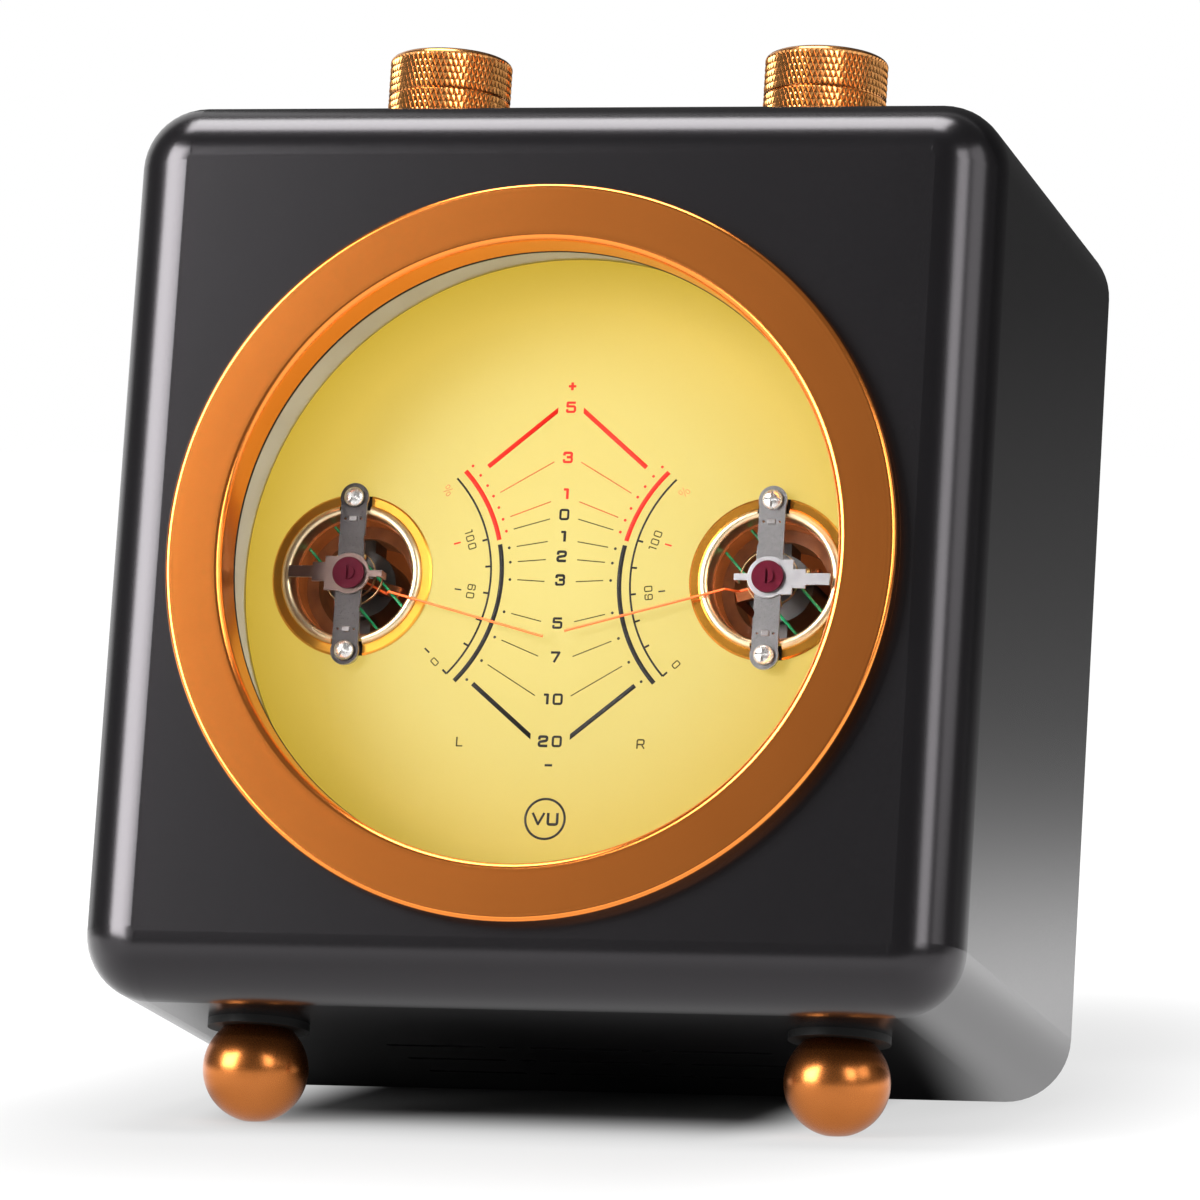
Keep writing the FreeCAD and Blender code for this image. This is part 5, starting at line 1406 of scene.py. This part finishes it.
@dataclass(frozen=True)
class Lens:
    """Look of the clear lens, which lets light through to the dial without a shadow."""

    tint: Colour = (0.985, 0.99, 0.985)
    bend: float = 1.13
    patch: float = 9.0
    roughness: Point = (0.0, 0.012)

    def material(self) -> bpy.types.Material:
        """Wire up the lens's material."""
        material, tree, shader, place = new_material("lens_clear")
        haze = mapped(tree, noise(tree, place, self.patch), self.roughness, NOISE_SPAN)
        feed(tree, shader, {"Transmission Weight": 1.0, "Base Color": (*self.tint, 1),
                            "IOR": self.bend, "Roughness": haze})
        shadow = add_node(tree, "LightPath", {}).outputs["Is Shadow Ray"]
        clear = add_node(tree, "BsdfTransparent", {}).outputs["BSDF"]
        mix = add_node(tree, "MixShader", {"Fac": shadow, 1: shader.outputs["BSDF"], 2: clear})
        feed(tree, tree.nodes["Material Output"], {"Surface": mix.outputs["Shader"]})
        return material


def dress_nodes(case: CaseFrame, palette: Palette) -> None:
    """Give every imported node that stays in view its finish."""
    nodes = frame["nodes"]
    for name, finish in NODE_FINISHES.items():
        dress(nodes[name], palette.material(finish))
    for name, finish in PAIRED_FINISHES.items():
        for side in Side:
            centre = side.pivot if finish.pattern is Pattern.TURNED else None
            dress(nodes[f"{name}_{side.word}"], palette.material(finish, centre))
    dress(nodes["dial_plate"], DialPlate().material(case))
    dress(nodes["lens"], Lens().material())


# ---------------------------------------------------------------- studio
@dataclass(frozen=True)
class Softbox:
    """A rectangular studio light, placed by the direction in which the object sees it."""

    name: str
    azimuth: float
    elevation: float
    distance: float
    width: float
    height: float
    radiance: float

    def build(self, aim: Vector) -> None:
        """Add the light and turn it to the object.

        Args:
            aim: the point that it faces.
        """
        data = bpy.data.lights.new(self.name, "AREA")
        data.shape = "RECTANGLE"
        data.size, data.size_y = (2 * self.distance * math.tan(math.radians(angle / 2))
                                  for angle in (self.width, self.height))
        data.energy = self.radiance * math.pi * data.size * data.size_y
        light = placed(self.name, data)
        away = bearing(self.azimuth, self.elevation)
        light.location = aim + away * self.distance
        light.rotation_euler = (-away).to_track_quat("-Z", "Y").to_euler()


def bearing(azimuth: float, elevation: float) -> Vector:
    """Unit vector of a direction: azimuth runs from the front towards the right, in degrees."""
    a, e = math.radians(azimuth), math.radians(elevation)
    return Vector((math.sin(a) * math.cos(e), -math.cos(a) * math.cos(e), math.sin(e)))


def plane(name: str, size: float) -> Piece:
    """Add a square plane at the origin."""
    deselect()
    bpy.ops.mesh.primitive_plane_add(size=size)
    piece = bpy.context.object
    piece.name = name
    return piece


@dataclass
class Studio:
    """Plain floor, white surroundings and softboxes, in metres.

    The floor glows, less so near the object: a painted shadow. What shiny surfaces see of it
    has a larger painted dark patch and its own brightness, dimmed in front and falling off behind.
    """

    floor_reach: float = 6.0
    floor_white: float = 0.12
    floor_spread: float = 1.02
    floor_patch: float = 1000 / 3
    floor_roughness: float = 0.6
    floor_glow: tuple[Triple, ...] = ((0.0, 0.042, 0.64), (0.045, 0.19, 0.36))
    shade_centre: Triple = (-0.007, 0.045, 0.0)
    shade_half: Triple = (0.028, 0.053, 0.0)
    glossy_shift: Triple = (0.003, 0.07, 0.0)
    glossy_grow: Triple = (0.015, 0.07, 0.0)
    mirror_floor: tuple[tuple[Point, Point], ...] = (
        ((0.72, 1.0), (-0.08, -0.04)), ((1.5, 0.62), (0.18, 0.50)))
    shade_squeeze: float = 2.5
    ambient: float = 0.25
    gloss: float = 0.15
    behind: Point = (0.35, 0.60)
    aim: Triple = (0.0, -0.03, 0.08)
    lights: tuple[Softbox, ...] = (
        Softbox("left_box", -47.5, 22.5, 1.1, 31, 38, 14.0),
        Softbox("top_box", -105, 80, 1.0, 26, 34, 11.0),
        Softbox("right_box", 46, 24, 1.1, 18, 30, 5.6),
        Softbox("right_fill", 77, 24, 1.1, 24, 30, 2.2),
    )
    card_place: Triple = (0.42, 0.50, 0.452)
    card_size: Point = (1.34, 0.90)
    card_colour: Colour = (0.02, 0.02, 0.02)
    card_roughness: float = 0.9
    card_glow: float = 0.65
    card_top: float = 0.11
    card_steps: tuple[Point, ...] = (
        (0.0, 1.0), (0.08, 0.60), (0.14, 0.41), (0.26, 0.24), (0.46, 0.15), (1.0, 0.0))

    def build(self) -> None:
        """Set the floor, the world, the lights and the card that darkens the case's side."""
        self._floor()
        self._world()
        for light in self.lights:
            light.build(Vector(self.aim))
        self._card()

    def _floor(self) -> None:
        """Lay a white-looking floor that takes the object's shadow and has a painted shadow under
        it.
        """
        floor = plane("floor", 2 * self.floor_reach)
        material, tree, shader, place = new_material("floor_white")
        greys = [(self.floor_white * gain,) * 3 for gain in (1, self.floor_spread)]
        glossy = add_node(tree, "LightPath", {}).outputs["Is Glossy Ray"]
        # painted shadow: the floor's glow fades out round the object's footprint, over a wider
        # patch for glossy rays
        centre = vector_math(tree, "MULTIPLY_ADD", glossy, self.glossy_shift, self.shade_centre)
        half = vector_math(tree, "MULTIPLY_ADD", glossy, self.glossy_grow, self.shade_half)
        away = vector_math(tree, "ABSOLUTE", vector_math(tree, "SUBTRACT", place, centre))
        away = vector_math(tree, "MAXIMUM", vector_math(tree, "SUBTRACT", away, half), (0, 0, 0))
        away = vector_math(tree, "MULTIPLY", away, (self.shade_squeeze, 1, 0))
        reach = vector_math(tree, "LENGTH", away)
        steps = [mapped(tree, reach, (0.0, gain), (start, end), "SMOOTHSTEP")
                 for start, end, gain in self.floor_glow]
        depth = component(tree, place, "Y")
        tones = [mapped(tree, depth, limits, span) for limits, span in self.mirror_floor]
        mirror = mapped(tree, glossy, (1.0, math_node(tree, "MULTIPLY", *tones)))
        glow = math_node(tree, "MULTIPLY", math_node(tree, "ADD", *steps), mirror)
        patches = noise(tree, place, self.floor_patch)
        feed(tree, shader, {
            "Base Color": ramp(tree, patches, list(zip(NOISE_SPAN, greys))),
            "Roughness": self.floor_roughness, "Specular IOR Level": 0.0,
            "Emission Color": (1, 1, 1, 1), "Emission Strength": glow})
        dress(floor, material)

    def _card(self) -> None:
        """Stand a dark card behind, which only the case's side and polished metal see."""
        card = plane("dark_card", 1)
        card.data.transform(Matrix.Diagonal((*self.card_size, 1, 1)))
        card.data.transform(Matrix.Rotation(math.pi / 2, 4, "X"))
        card.data.transform(Matrix.Translation(self.card_place))
        card.visible_camera = card.visible_diffuse = card.visible_shadow = False
        material, tree, shader, place = new_material("card_black")
        share = mapped(tree, component(tree, place, "Z"), (0.0, 1.0), (0.0, self.card_top))
        greys = [(step, (level,) * 3) for step, level in self.card_steps]
        feed(tree, shader, {
            "Base Color": (*self.card_colour, 1), "Roughness": self.card_roughness,
            "Emission Color": ramp(tree, share, greys), "Emission Strength": self.card_glow})
        dress(card, material)

    def _world(self) -> None:
        """Light evenly, and show white to the camera and, behind, in metal and glass."""
        world = bpy.data.worlds.new("studio")
        bpy.context.scene.world = world
        world.use_nodes = True
        tree = world.node_tree
        direction = add_node(tree, "TexCoord", {}).outputs["Generated"]
        depth = component(tree, direction, "Y")
        behind = mapped(tree, depth, (0.0, 1.0), self.behind, "SMOOTHSTEP")
        rays = add_node(tree, "LightPath", {}).outputs
        mirror = math_node(tree, "MAXIMUM", rays["Is Glossy Ray"], rays["Is Transmission Ray"])
        seen = math_node(tree, "MULTIPLY", mirror, behind)
        white = math_node(tree, "MAXIMUM", rays["Is Camera Ray"], seen)
        dim = mapped(tree, mirror, (self.ambient, self.gloss))
        level = math_node(tree, "MAXIMUM", white, dim)
        feed(tree, tree.nodes["Background"], {"Strength": level, "Color": (1, 1, 1, 1)})


@dataclass
class CameraRig:
    """Long-lens camera in front, a little to the right and level with the case."""

    place: Triple = (0.28929, -1.11643, 0.10228)
    turn: Triple = (88.2587, -0.1114, 14.5603)
    lens: float = 261.96
    sensor: float = 36.0
    clip: Point = (0.01, 20.0)

    def build(self) -> None:
        """Add the camera and make it the scene's own."""
        data = bpy.data.cameras.new("camera")
        data.lens, data.sensor_width, data.sensor_fit = self.lens, self.sensor, "HORIZONTAL"
        data.clip_start, data.clip_end = self.clip
        camera = placed("camera", data)
        camera.location = self.place
        camera.rotation_euler = [math.radians(angle) for angle in self.turn]
        bpy.context.scene.camera = camera


# ---------------------------------------------------------------- the whole
def main() -> None:
    """Build every piece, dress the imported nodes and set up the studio."""
    logging.basicConfig(level=logging.INFO, format="%(message)s")
    bpy.context.scene.view_settings.view_transform = "Standard"
    deselect()
    case = CaseFrame(frame["joints"])
    palette = Palette(case)
    dress_nodes(case, palette)
    pieces = [Bezel(), GasketRing(), JewelScrews(), CrossScrews(), StrapTabs(),
              *(kind(side) for side in Side for kind in (Knob, Eyelet)),
              *movement_trim(), DialPrint()]
    for piece in pieces:
        piece.build(case, palette)
    Studio().build()
    CameraRig().build()


if __name__ == "__main__":
    main()
